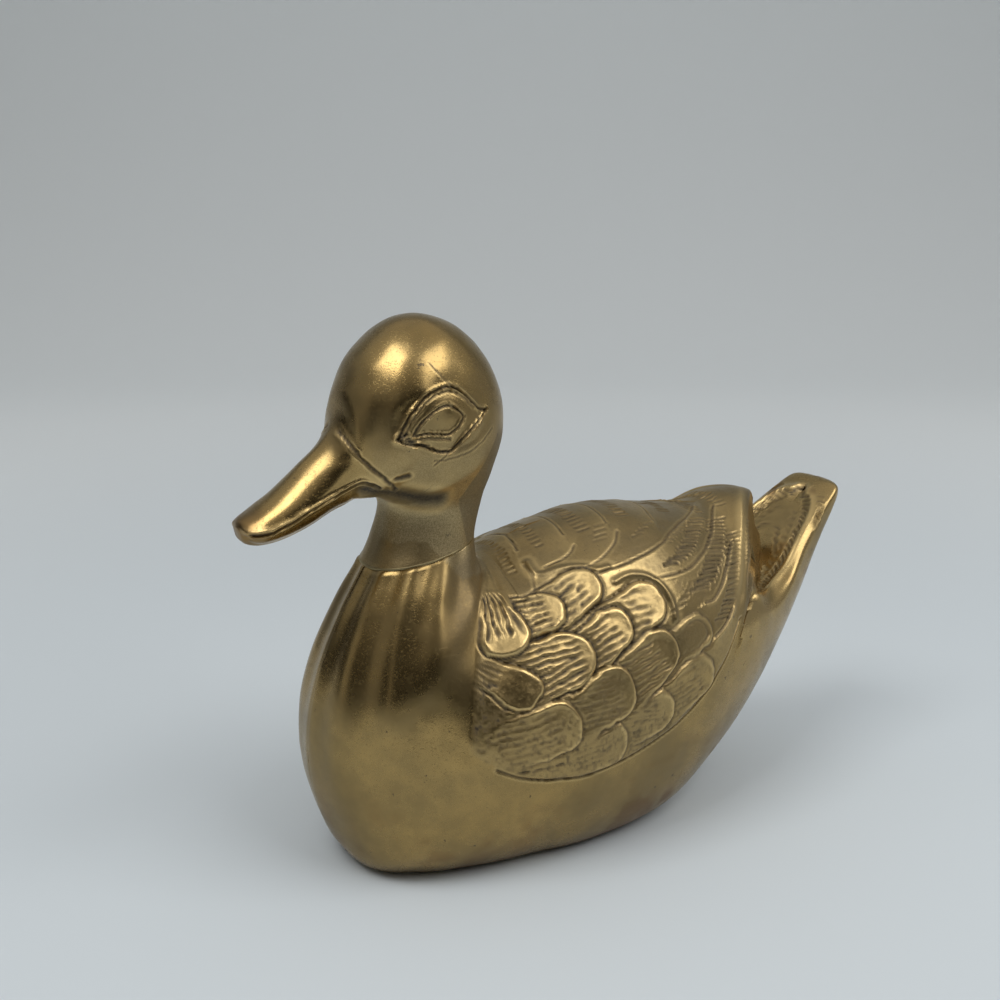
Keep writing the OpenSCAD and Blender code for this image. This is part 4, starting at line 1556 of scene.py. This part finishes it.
@dataclass(frozen=True)
class BrazeBead:
    """Bead of brazing metal along a closed path, uneven as it froze."""

    name: str
    node: str
    path: Array
    width: float
    height: float
    unevenness: float
    seed: int = 5
    step: float = 0.5
    facets: int = 14
    lumps: float = 420.0

    def _tree(self, material: Material) -> bpy.types.NodeTree:
        """Node tree that sweeps an oval along the path and makes it uneven.

        Args:
            material: Finish of the bead.

        Returns:
            A geometry tree with the inputs Path, Width, Height, Unevenness and Seed.
        """
        tree = bpy.data.node_groups.new(self.name + "_sweep", "GeometryNodeTree")
        face = tree.interface
        face.new_socket("Path", in_out="INPUT", socket_type="NodeSocketGeometry")
        for label in ("Width", "Height", "Unevenness", "Seed"):
            face.new_socket(label, in_out="INPUT", socket_type="NodeSocketFloat")
        face.new_socket("Bead", in_out="OUTPUT", socket_type="NodeSocketGeometry")
        wiring = Wiring(tree.nodes, tree.links)
        given = wiring.add("NodeGroupInput", {}).outputs
        even = wiring.add("GeometryNodeResampleCurve", {"Curve": given["Path"], "Length": self.step * MM},
                          mode="LENGTH")
        circle = wiring.add("GeometryNodeCurvePrimitiveCircle", {"Resolution": self.facets, "Radius": 1.0})
        size = wiring.add("ShaderNodeCombineXYZ", {"X": given["Width"], "Y": given["Height"], "Z": 1.0})
        oval = wiring.add("GeometryNodeTransform", {"Geometry": circle.outputs["Curve"],
                                                    "Scale": size.outputs[0]})
        sweep = wiring.add("GeometryNodeCurveToMesh", {"Curve": even.outputs["Curve"],
                                                       "Profile Curve": oval.outputs["Geometry"]})
        lumps = wiring.add("ShaderNodeTexNoise", {"Scale": self.lumps, "Detail": 2.0, "W": given["Seed"]},
                           noise_dimensions="4D")
        amount = wiring.product(wiring.sum(lumps.outputs["Fac"], -0.5), given["Unevenness"])
        outward = wiring.add("GeometryNodeInputNormal", {})
        shift = wiring.add("ShaderNodeVectorMath", {0: outward.outputs[0], "Scale": amount},
                           operation="SCALE")
        push = wiring.add("GeometryNodeSetPosition", {"Geometry": sweep.outputs["Mesh"],
                                                      "Offset": shift.outputs[0]})
        real = wiring.add("GeometryNodeRealizeInstances", {"Geometry": push.outputs["Geometry"]})
        dress = wiring.add("GeometryNodeSetMaterial", {"Geometry": real.outputs["Geometry"],
                                                       "Material": material})
        wiring.add("NodeGroupOutput", {"Bead": dress.outputs["Geometry"]})
        return tree

    def build(self, material: Material) -> Object:
        """Sweeps the bead and hangs it on the frame.

        Args:
            material: Finish of the bead.

        Returns:
            The finished piece.
        """
        curve = bpy.data.curves.new(self.name + "_path", "CURVE")
        curve.dimensions = "3D"
        spline = curve.splines.new("POLY")
        spline.points.add(len(self.path) - 1)
        for point, place in zip(spline.points, self.path):
            point.co = (*(place * MM).tolist(), 1.0)
        spline.use_cyclic_u = True
        track = bpy.data.objects.new(self.name + "_path", curve)
        bpy.context.scene.collection.objects.link(track)
        sweep = track.modifiers.new("sweep", "NODES")
        sweep.node_group = self._tree(material)
        values = {"Width": self.width * MM, "Height": self.height * MM,
                  "Unevenness": self.unevenness * 2 * MM, "Seed": float(self.seed)}
        for item in sweep.node_group.interface.items_tree:
            if item.in_out == "INPUT" and item.name in values:
                sweep[item.identifier] = values[item.name]
        graph = bpy.context.evaluated_depsgraph_get()
        graph.update()
        mesh = bpy.data.meshes.new_from_object(track.evaluated_get(graph), depsgraph=graph)
        mesh.name = self.name
        mesh.polygons.foreach_set("use_smooth", [True] * len(mesh.polygons))
        track.modifiers.clear()
        bpy.data.objects.remove(track)
        obj = bpy.data.objects.new(self.name, mesh)
        bpy.context.scene.collection.objects.link(obj)
        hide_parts(self.node)
        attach(obj, "root")
        x, y, z = obj.dimensions / MM
        LOG.info("%s: %d faces, %.1f x %.1f x %.2f mm", obj.name, len(mesh.polygons), x, y, z)
        return obj


def even_angles(form: DuckForm, place: float, fine: int, coarse: int, turn: float) -> Array:
    """Angles round a section that are evenly spaced along its outline.

    Args:
        form: Shape of the duck.
        place: Place of the section along the rows.
        fine: Number of angles above the turn.
        coarse: Number of angles below it.
        turn: Angle at which the spacing changes.

    Returns:
        Angles from -90 to 90 degrees.
    """
    rows = form.rows(True)
    section = form.row_at(rows, np.array(place))

    def spread(low: float, high: float, count: int) -> Array:
        """Spaces angles evenly along one part of the outline.

        Args:
            low: First angle.
            high: Last angle.
            count: Number of steps between them.

        Returns:
            The angles, both ends among them.
        """
        dense = np.linspace(low, high, 2000)
        line = form.point(np.broadcast_to(section, (len(dense), len(section))), dense)
        run = np.concatenate([[0], np.cumsum(np.linalg.norm(np.diff(line, axis=0), axis=1))])
        return np.interp(np.linspace(0, run[-1], count + 1), run, dense)

    return np.concatenate([spread(-90.0, turn, coarse), spread(turn, 90.0, fine)[1:]])


@dataclass
class BodyCasting:
    """One half of the body: a shell with the wing, back and half of the tail carved on it."""

    form: DuckForm
    side: Side
    wing: WingCarving = field(default_factory=WingCarving)
    tail: TailCarving = field(default_factory=TailCarving)
    tail_rings: int = 84
    wall_rings: int = 9
    wing_rings: int = 225
    shoulder_rings: int = 44
    breast_rings: int = 56
    shoulder_rows: float = 3.5
    flat_columns: int = 4
    fine_columns: int = 180
    coarse_columns: int = 36
    fine_from: float = -24.0
    wall_lean: float = 0.07
    # Unevenness of the casting, as size and height
    waves: Line = ((17.0, 0.22), (5.0, 0.07))
    # Shallow flutes round the breast: height, and pitch and start in degrees
    flute_height: float = 0.5
    flute_pitch: float = 34.0
    flute_start: float = 62.0

    @property
    def node(self) -> str:
        """Name of the frame's node that this half stands for."""
        return "body_left_half" if self.side is Side.LEFT else "body_right_half"

    def _columns(self) -> tuple[Array, Array]:
        """Finds the columns, from the middle of the flat to the top.

        Returns:
            Their angles and their shares of the flat's half width.
        """
        phi = even_angles(self.form, self.form.nape - 3.0, self.fine_columns, self.coarse_columns,
                          self.fine_from)
        flats = np.linspace(0, 1, self.flat_columns, endpoint=False)
        phi = np.concatenate([np.full(len(flats), -90.0), phi])
        share = np.concatenate([flats, np.ones(len(phi) - len(flats))])
        return phi, share

    def _grid(self) -> tuple[Array, Array, Array, Array]:
        """Bare surface of the left half.

        Returns:
            Points, run ahead of the wing's edge, place along the rows and angle, for rings by columns.
        """
        form = self.form
        phi, share = self._columns()
        edge = form.edge_place(phi)
        bare, winged = form.rows(False), form.rows(True)
        nape, joint = form.nape, form.joint
        lean = self.wall_lean

        def ring(rows: Array, place: Array) -> Array:
            """Points of one ring, with a place along the rows for each column."""
            return form.point(form.row_at(rows, place), phi, share)

        places = [(edge - lean) * u for u in np.linspace(0, 1, self.tail_rings)]
        rings = [ring(bare, place) for place in places]
        for u in np.linspace(0, 1, self.wall_rings + 2)[1:-1]:
            places.append(edge - lean + 2 * lean * u)
            rise = ease(0.0, 1.0, np.array(u))
            rings.append(ring(bare, places[-1]) * (1 - rise) + ring(winged, places[-1]) * rise)
        before = len(places)
        places += [edge + lean + (nape - edge - lean) * u for u in np.linspace(0, 1, self.wing_rings)]
        front = np.concatenate([
            nape + self.shoulder_rows * np.linspace(0, 1, self.shoulder_rings)[1:],
            np.linspace(nape + self.shoulder_rows, joint - form.groove_rows, self.breast_rings)[1:],
        ])
        places += [np.full(len(phi), s) for s in front]
        rings += [ring(winged, place) for place in places[before:]]
        grid = np.stack(rings)
        place = np.stack(places)
        run = (place - edge[None, :]) * form.trunk_step
        return grid, run, place, np.broadcast_to(phi, place.shape)

    def _relief(self, grid: Array, run: Array, place: Array,
                phi: Array) -> tuple[Array, dict[str, Array]]:
        """Gathers the relief of the wing and the tail, and the casting's own unevenness.

        Args:
            grid: Points of the bare surface.
            run: How far each lies ahead of the wing's rear edge.
            place: Its place along the rows.
            phi: Its angle round the section.

        Returns:
            Heights over the bare surface, and tones by attribute name.
        """
        flat = grid.reshape(-1, 3)
        run, place, phi = run.ravel(), place.ravel(), phi.ravel()
        wing = self.wing.carve(flat, run)
        on_tail = ((run < -0.4) & (phi > 0)).astype(float) * ease(0, 20, phi)
        tail = self.tail.carve(flat, on_tail)
        height = wing.height + tail.height
        lumps = Unevenness(71 if self.side is Side.LEFT else 72)
        calm = 1 - np.clip(ease(0.0, 0.6, wing.height), 0, 1) * 0.6
        height += calm * sum(high * lumps.at(flat, size) for size, high in self.waves)
        front = ease(self.form.nape + 3.5, self.form.nape + 8.0, place)
        flutes = np.cos(np.radians((phi + self.flute_start) * 360.0 / self.flute_pitch))
        height += self.flute_height * front * ease(70, 20, phi) * flutes
        standing = ease(0.0, 3.0, flat[:, 2])
        height *= standing
        joint = self.form.joint
        # Painted dark reflection on the back where it meets the neck, added to the dark of the cuts
        painted_dark_reflection = ease(joint - 5, joint - 3, place) * ease(joint + 0.1, joint - 0.8, place)
        painted_dark_reflection *= ease(0, 25, phi) * ease(90, 70, phi)
        tones = {
            "patina_and_painted_dark": np.clip(np.maximum(wing.patina_and_painted_dark, tail.patina_and_painted_dark) + 0.45 * painted_dark_reflection, 0, 1),
            "polish_and_sheen": np.clip(wing.polish_and_sheen + tail.polish_and_sheen, 0, 1),
            "blasted": np.clip(self._filed(flat, place, phi, lumps) + 0.3 * wing.inside, 0, 1),
            "stain_and_shade": self._stain_and_foot_shadow(flat, lumps),
        }
        return height, tones

    def _filed(self, points: Array, place: Array, phi: Array, lumps: Unevenness) -> Array:
        """Satin left by filing the neck joint flush, with an uneven lower limit.

        Args:
            points: Rows of x, y, z.
            place: Place of each point along the rows.
            phi: Its angle round the section.
            lumps: Noise that breaks up the limit.

        Returns:
            Strength from 0 to 1 at each point.
        """
        near_neck = ease(self.form.joint - 6, self.form.joint - 5, place)
        return 0.9 * satin(points, lumps) * near_neck * ease(-60, -30, phi)

    @staticmethod
    def _stain_and_foot_shadow(points: Array, lumps: Unevenness) -> Array:
        """Brown discolouring low on the flanks and breast and in spots on the tail, and a painted shadow
        along the foot.

        Args:
            points: Rows of x, y, z.
            lumps: Noise that breaks it up.

        Returns:
            Strength from 0 to 1 at each point.
        """
        x, z = points[:, 0], points[:, 2]
        broken = 0.5 + 0.6 * lumps.at(points, 14.0) + 0.35 * lumps.at(points, 4.0)
        low = ease(46, 6, z) * (0.45 + 0.55 * ease(30, -30, x))
        # Painted contact shadow along the foot of the body
        foot = ease(6, 0, z)
        tail = 0.8 * ease(-78, -95, x) * ease(0.35, 0.8, lumps.at(points, 6.0))
        return np.clip(np.maximum(low * ease(0.35, 0.8, broken), tail) + 0.4 * foot, 0, 1)

    def build(self, brass: Material) -> Object:
        """Builds the half and hangs it on the frame.

        Args:
            brass: Finish of the casting.

        Returns:
            The finished piece.
        """
        grid, run, place, phi = self._grid()
        height, tones = self._relief(grid, run, place, phi)
        normal = grid_normals(grid).reshape(-1, 3)
        points = grid.reshape(-1, 3) + normal * height[:, None]
        shape = grid.shape[:2]
        points = points.reshape(*shape, 3)
        points[:, -1, 1] = 0.0
        points[:, 0, 1] = 0.0
        inner = self.form.point(self.form.groove_sections(shape[1]), phi[0], self._columns()[1])
        points = np.concatenate([points, inner[None]], axis=0)
        tones = {k: np.concatenate([v, np.zeros(shape[1])]) for k, v in tones.items()}
        faces = self._faces(*points.shape[:2])
        flat = points.reshape(-1, 3)
        flat[:, 2] = np.maximum(flat[:, 2], 0.0)
        flat[:, 1] = np.maximum(flat[:, 1], 0.0)
        if self.side is Side.RIGHT:
            flat = flat * np.array([1.0, -1.0, 1.0])
            faces = [f[::-1] for f in faces]
        name = "left_body_casting" if self.side is Side.LEFT else "right_body_casting"
        obj = mesh_object(name, flat, faces, tones, brass)
        self._hollow_out(obj)
        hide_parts(self.node)
        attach(obj, "root")
        LOG.info("%s: %d faces", obj.name, len(obj.data.polygons))
        return obj

    def _hollow_out(self, obj: Object) -> None:
        """Cuts the hollow, the bore and the plate's seat out of the solid half.

        Args:
            obj: The half, solid.
        """
        cutters = Hollow(self.form).cutters()
        for cutter in cutters:
            cut = obj.modifiers.new(cutter.name, "BOOLEAN")
            cut.operation = "DIFFERENCE"
            cut.solver = "MANIFOLD"
            cut.object = cutter
        settle(obj)
        for cutter in cutters:
            bpy.data.objects.remove(cutter)
        obj.data.set_sharp_from_angle(angle=SHARP)

    def _faces(self, rings: int, columns: int) -> list[tuple[int, ...]]:
        """Lists the faces of a half.

        Args:
            rings: Number of rings.
            columns: Number of points round each ring.

        Returns:
            Quads of the skin, then those along the mid-plane, then both ends.
        """
        faces = []
        for i in range(rings - 1):
            row, above = i * columns, (i + 1) * columns
            faces += [(row + j, row + j + 1, above + j + 1, above + j) for j in range(columns - 1)]
        top = columns - 1
        for i in range(rings - 1):
            row, above = i * columns, (i + 1) * columns
            faces.append((row, above, above + top, row + top))
        faces.append(tuple(range(columns - 1, -1, -1)))
        faces.append(tuple((rings - 1) * columns + j for j in range(columns)))
        return faces


@dataclass
class HeadCasting:
    """Head, bill and upper neck, with their eyes, mouth and crease."""

    form: DuckForm
    carving: HeadCarving = field(default_factory=HeadCarving)
    neck_rings: int = 36
    head_rings: int = 172
    bill_rings: int = 66
    side_columns: int = 170
    # Rear limit of the cheek's sanded face, and front edge of the painted dark reflection behind it, as
    # height and x
    cheek_edge: Line = ((110, 49), (118, 51), (126, 53.5), (136, 48), (147, 40))

    def _grid(self) -> tuple[Array, Array]:
        """Bare surface of both sides.

        Returns:
            Points and places along the rows, for rings by columns.
        """
        form = self.form
        phi = even_angles(form, form.joint + 6.0, self.side_columns, 2, -88.0)
        rows = form.rows(True)
        start = form.joint + form.groove_rows
        throat = form.joint + 2.5
        bill = form.bill_root_row - 0.5
        places = np.concatenate([
            np.linspace(start, throat, self.neck_rings, endpoint=False),
            np.linspace(throat, bill, self.head_rings, endpoint=False),
            np.linspace(bill, form.tip, self.bill_rings),
        ])
        place = np.broadcast_to(places[:, None], (len(places), len(phi)))
        left = form.point(form.row_at(rows, place), np.broadcast_to(phi, place.shape))
        inner = form.point(form.groove_sections(len(phi)), phi)
        left = np.concatenate([inner[None], left])
        place = np.concatenate([place[:1], place])
        foot = left[:, :1] * np.array([1.0, 0.0, 1.0])
        left = np.concatenate([foot, left], axis=1)
        left[:, -1, 1] = 0.0
        right = left[:, -2:0:-1] * np.array([1.0, -1.0, 1.0])
        grid = np.concatenate([left, right], axis=1)
        return grid, np.broadcast_to(place[:, :1], grid.shape[:2])

    def _painted_reflection_behind_cheek(self, points: Array) -> Array:
        """Painted dark reflection behind the cheek and down the back of the neck, with a clear front edge.
        """
        limit = np.interp(points[:, 2], *np.array(self.cheek_edge).T)
        return ease(0.5, -0.4, points[:, 0] - limit) * ease(150, 144, points[:, 2])

    def build(self, brass: Material) -> Object:
        """Builds the head and hangs it on the frame.

        Args:
            brass: Finish of the casting.

        Returns:
            The finished piece.
        """
        grid, place = self._grid()
        around = np.concatenate([grid[:, -1:], grid, grid[:, :1]], axis=1)
        normal = grid_normals(around)[:, 1:-1].reshape(-1, 3)
        flat = grid.reshape(-1, 3)
        s = place.ravel()
        relief = self.carving.carve(flat)
        lumps = Unevenness(73)
        height = relief.height + 0.3 * lumps.at(flat, 13.0) + 0.1 * lumps.at(flat, 5.0)
        fade = ease(self.form.tip, self.form.tip - 1.0, s)
        height *= np.maximum(fade, 0.25)
        height[: grid.shape[1]] = 0.0
        points = flat + normal * height[:, None]
        neck = ease(self.form.joint + 4.2, self.form.joint + 2.8, s) * satin(flat, lumps)
        cheek = ease(160, 140, flat[:, 2]) * ease(88, 80, flat[:, 0])
        tones = {
            # Painted shade under the chin and the painted dark reflection behind the cheek share this tone
            "patina_and_painted_dark": np.clip(relief.patina_and_painted_dark + 0.42 * self._painted_reflection_behind_cheek(flat), 0, 1),
            "polish_and_sheen": np.clip(relief.polish_and_sheen, 0, 1),
            "blasted": np.clip(neck + 0.55 * cheek, 0, 1),
            "stain_and_shade": 0.55 * ease(110, 121, flat[:, 0] + 2.5 * lumps.at(flat, 4.0)),
        }
        obj = mesh_object("head_and_bill", points, lofted(*grid.shape[:2]), tones, brass)
        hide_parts("head_casting")
        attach(obj, "root")
        LOG.info("%s: %d faces", obj.name, len(obj.data.polygons))
        return obj


@dataclass(frozen=True)
class Softbox:
    """Rectangular soft light aimed at a point."""

    name: str
    at: Place
    towards: Place
    size: tuple[float, float]
    watts: float

    def hang(self) -> None:
        """Adds the light to the scene."""
        data = bpy.data.lights.new(self.name, "AREA")
        data.shape = "RECTANGLE"
        data.size, data.size_y = self.size
        data.energy = self.watts
        obj = bpy.data.objects.new(self.name, data)
        obj.location = self.at
        obj.rotation_euler = (Vector(self.towards) - Vector(self.at)).to_track_quat("-Z", "Y").to_euler()
        bpy.context.scene.collection.objects.link(obj)


@dataclass(frozen=True)
class Studio:
    """Pale sweep, soft lights and the camera at the photograph's angle, in metres."""

    camera_at: Place = (0.24892, 0.36749, 0.23343)
    looking: Place = (-0.49768, -0.82784, -0.25882)
    focal_px: float = 1300.0
    frame_px: float = 1000.0
    sensor: float = 36.0
    softboxes: tuple[Softbox, ...] = (
        Softbox("over_the_bill", (0.6, 0.14, 1.1), (0.0, 0.0, 0.1), (0.6, 0.5), 4.1),
        Softbox("over_the_wing", (-0.38, 0.66, 0.92), (0.0, 0.0, 0.08), (0.9, 0.6), 4.5),
    )
    # Sweep: reach of the floor to the front and back, radius of the bend, height and half width
    sweep_front: float = -1.6
    sweep_back: float = 0.9
    sweep_bend: float = 0.5
    sweep_top: float = 1.8
    sweep_side: float = 2.2
    bend_steps: int = 12
    # Paper colour near the middle, and painted light that lightens it further out, where the lamps reach
    # less
    paper_near: Colour = (0.69, 0.745, 0.775)
    paper_far_painted_light: Colour = (0.88, 0.92, 0.93)
    painted_light_reach: tuple[float, float] = (0.25, 0.85)
    # Room round the duck: dark walls from and to an angle in plan, up to a rise of the view
    dark_walls: tuple[Place, ...] = ((6, 33, 0.5), (43, 126, 0.55), (-62, -22, 0.3))
    wall_blur: float = 1.5
    wall_top_blur: float = 0.05
    wall_colour: Colour = (0.022, 0.021, 0.02)
    room_low: Colour = (0.34, 0.35, 0.36)
    room_high: Colour = (0.52, 0.53, 0.54)
    room_front: Colour = (0.27, 0.262, 0.25)
    room_top: Colour = (0.5, 0.5, 0.5)
    room_seen: Colour = (0.4, 0.425, 0.435)
    high_from: tuple[float, float] = (0.35, 0.85)
    front_from: tuple[float, float] = (0.0, 0.7)
    top_from: tuple[float, float] = (0.66, 0.8)

    def place_camera(self) -> None:
        """Makes the camera and gives it to the scene."""
        data = bpy.data.cameras.new("camera")
        data.sensor_width = self.sensor
        data.lens = self.sensor * self.focal_px / self.frame_px
        data.clip_start = 0.01
        obj = bpy.data.objects.new("camera", data)
        obj.location = self.camera_at
        obj.rotation_euler = Vector(self.looking).to_track_quat("-Z", "Y").to_euler()
        bpy.context.scene.collection.objects.link(obj)
        bpy.context.scene.camera = obj

    def lay_sweep(self) -> None:
        """Makes the floor, curved up into a backdrop behind the duck."""
        view = Vector((self.looking[0], self.looking[1], 0)).normalized()
        across = Vector((view.y, -view.x, 0))
        profile = [(self.sweep_front, 0.0), (self.sweep_back, 0.0)]
        for k in range(self.bend_steps):
            turn = math.radians(90 * (k + 1) / self.bend_steps)
            profile.append((self.sweep_back + self.sweep_bend * math.sin(turn),
                            self.sweep_bend * (1 - math.cos(turn))))
        profile.append((self.sweep_back + self.sweep_bend, self.sweep_top))
        points = []
        for reach, height in profile:
            for side in (-self.sweep_side, self.sweep_side):
                p = view * reach + across * side
                points.append((p.x, p.y, height))
        faces = [(a, a + 1, a + 3, a + 2) for a in range(0, 2 * len(profile) - 2, 2)]
        mesh = bpy.data.meshes.new("sweep")
        mesh.from_pydata(points, [], faces)
        mesh.polygons.foreach_set("use_smooth", [True] * len(mesh.polygons))
        mesh.materials.append(self._paper())
        obj = bpy.data.objects.new("sweep", mesh)
        bpy.context.scene.collection.objects.link(obj)

    def _paper(self) -> Material:
        """Makes the matt pale paper, with painted light that makes it lighter further from the middle.

        Returns:
            The material.
        """
        mat = bpy.data.materials.new("pale_paper")
        mat.use_nodes = True
        skin = mat.node_tree.nodes["Principled BSDF"]
        tree = Wiring(mat.node_tree.nodes, mat.node_tree.links)
        place = tree.add("ShaderNodeTexCoord", {}).outputs["Object"]
        reach = tree.add("ShaderNodeVectorMath", {0: place}, operation="LENGTH").outputs["Value"]
        # Painted light: lighter with distance from the middle
        colour = tree.mix(tree.ramp(reach, *self.painted_light_reach), self.paper_near, self.paper_far_painted_light)
        tree.links.new(colour, skin.inputs["Base Color"])
        skin.inputs["Roughness"].default_value = 0.9
        skin.inputs["Specular IOR Level"].default_value = 0.2
        return mat

    def light(self) -> None:
        """Sets the softboxes and a dim room with dark walls, which the brass mirrors."""
        for softbox in self.softboxes:
            softbox.hang()
        world = bpy.data.worlds.new("room")
        bpy.context.scene.world = world
        world.use_nodes = True
        tree = Wiring(world.node_tree.nodes, world.node_tree.links)
        aim = tree.add("ShaderNodeTexCoord", {}).outputs["Generated"]
        x, y, z = tree.add("ShaderNodeSeparateXYZ", {0: aim}).outputs
        colour = tree.mix(tree.ramp(z, *self.high_from), self.room_low, self.room_high)
        to_camera = tuple(-k for k in self.looking)
        colour = tree.mix(tree.ramp(tree.dot(aim, to_camera), *self.front_from), colour, self.room_front)
        azimuth = tree.azimuth(x, y)
        for start, end, top in self.dark_walls:
            wall = tree.band(azimuth, math.radians(start), math.radians(end), math.radians(self.wall_blur))
            below = tree.ramp(z, top + self.wall_top_blur, top - self.wall_top_blur)
            colour = tree.mix(tree.product(wall, below), colour, self.wall_colour)
        colour = tree.mix(tree.ramp(z, *self.top_from), colour, self.room_top)
        seen = tree.add("ShaderNodeLightPath", {}).outputs["Is Camera Ray"]
        background = tree.nodes["Background"]
        background.inputs["Strength"].default_value = 1.0
        tree.links.new(tree.mix(seen, colour, self.room_seen), background.inputs["Color"])


def neck_path(form: DuckForm, sunk: float = 0.32, steps: int = 61) -> Array:
    """Finds the ring in the groove between the head and the body.

    Args:
        form: Shape of the duck.
        sunk: How deep it lies, as a share of the groove's depth.
        steps: Number of points down one side.

    Returns:
        Points round the neck, as x, y, z.
    """
    phi = np.linspace(-90, 90, steps)
    joint = np.full(len(phi), float(form.joint))
    left = form.point(form.drawn_in(form.row_at(form.rows(True), joint), sunk * form.groove), phi)
    return np.concatenate([left, left[-2:0:-1] * np.array([1.0, -1.0, 1.0])])


def plate_path(form: DuckForm, inset: float = 0.8, level: float = 0.4, steps: int = 40) -> Array:
    """Finds the ring between the closing plate and its seat.

    Args:
        form: Shape of the duck.
        inset: How far it is drawn in from the seat's outline.
        level: Its height.
        steps: Number of points round each end.

    Returns:
        Points round the plate, as x, y, z.
    """
    plan = Hollow(form).bar(inset, steps)
    return np.column_stack([plan, np.full(len(plan), level)])


def dress_node(node: str, material: Material) -> None:
    """Gives a node of the frame a finish.

    Args:
        node: Name of the node.
        material: The finish.
    """
    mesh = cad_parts[node].data
    mesh.materials.clear()
    mesh.materials.append(material)


def main() -> None:
    """Builds the duck's pieces in order and reports each one."""
    logging.basicConfig(level=logging.INFO, format="%(name)s: %(message)s")
    bpy.context.scene.view_settings.view_transform = "Standard"
    form = DuckForm()
    studio = Studio()
    studio.place_camera()
    studio.lay_sweep()
    studio.light()
    brass = AgedBrass("aged_brass").make()
    filler = AgedBrass("brazing_metal", body=(0.38, 0.3, 0.15), dull=(0.24, 0.2, 0.11), roughness=0.42,
                       uses_tones=False).make()
    sheet = AgedBrass("plate_brass", body=(0.38, 0.28, 0.12), roughness=0.38, uses_tones=False).make()
    for side in Side:
        BodyCasting(form, side).build(brass)
    HeadCasting(form).build(brass)
    for bead in (
        BrazeBead("neck_bead", "neck_braze", neck_path(form), width=0.5, height=0.55, unevenness=0.06),
        BrazeBead("plate_bead", "plate_braze", plate_path(form), width=0.72, height=0.36, unevenness=0.05,
                  seed=6),
    ):
        bead.build(filler)
    dress_node("seam_braze", filler)
    dress_node("base_plate", sheet)


if __name__ == "__main__":
    main()
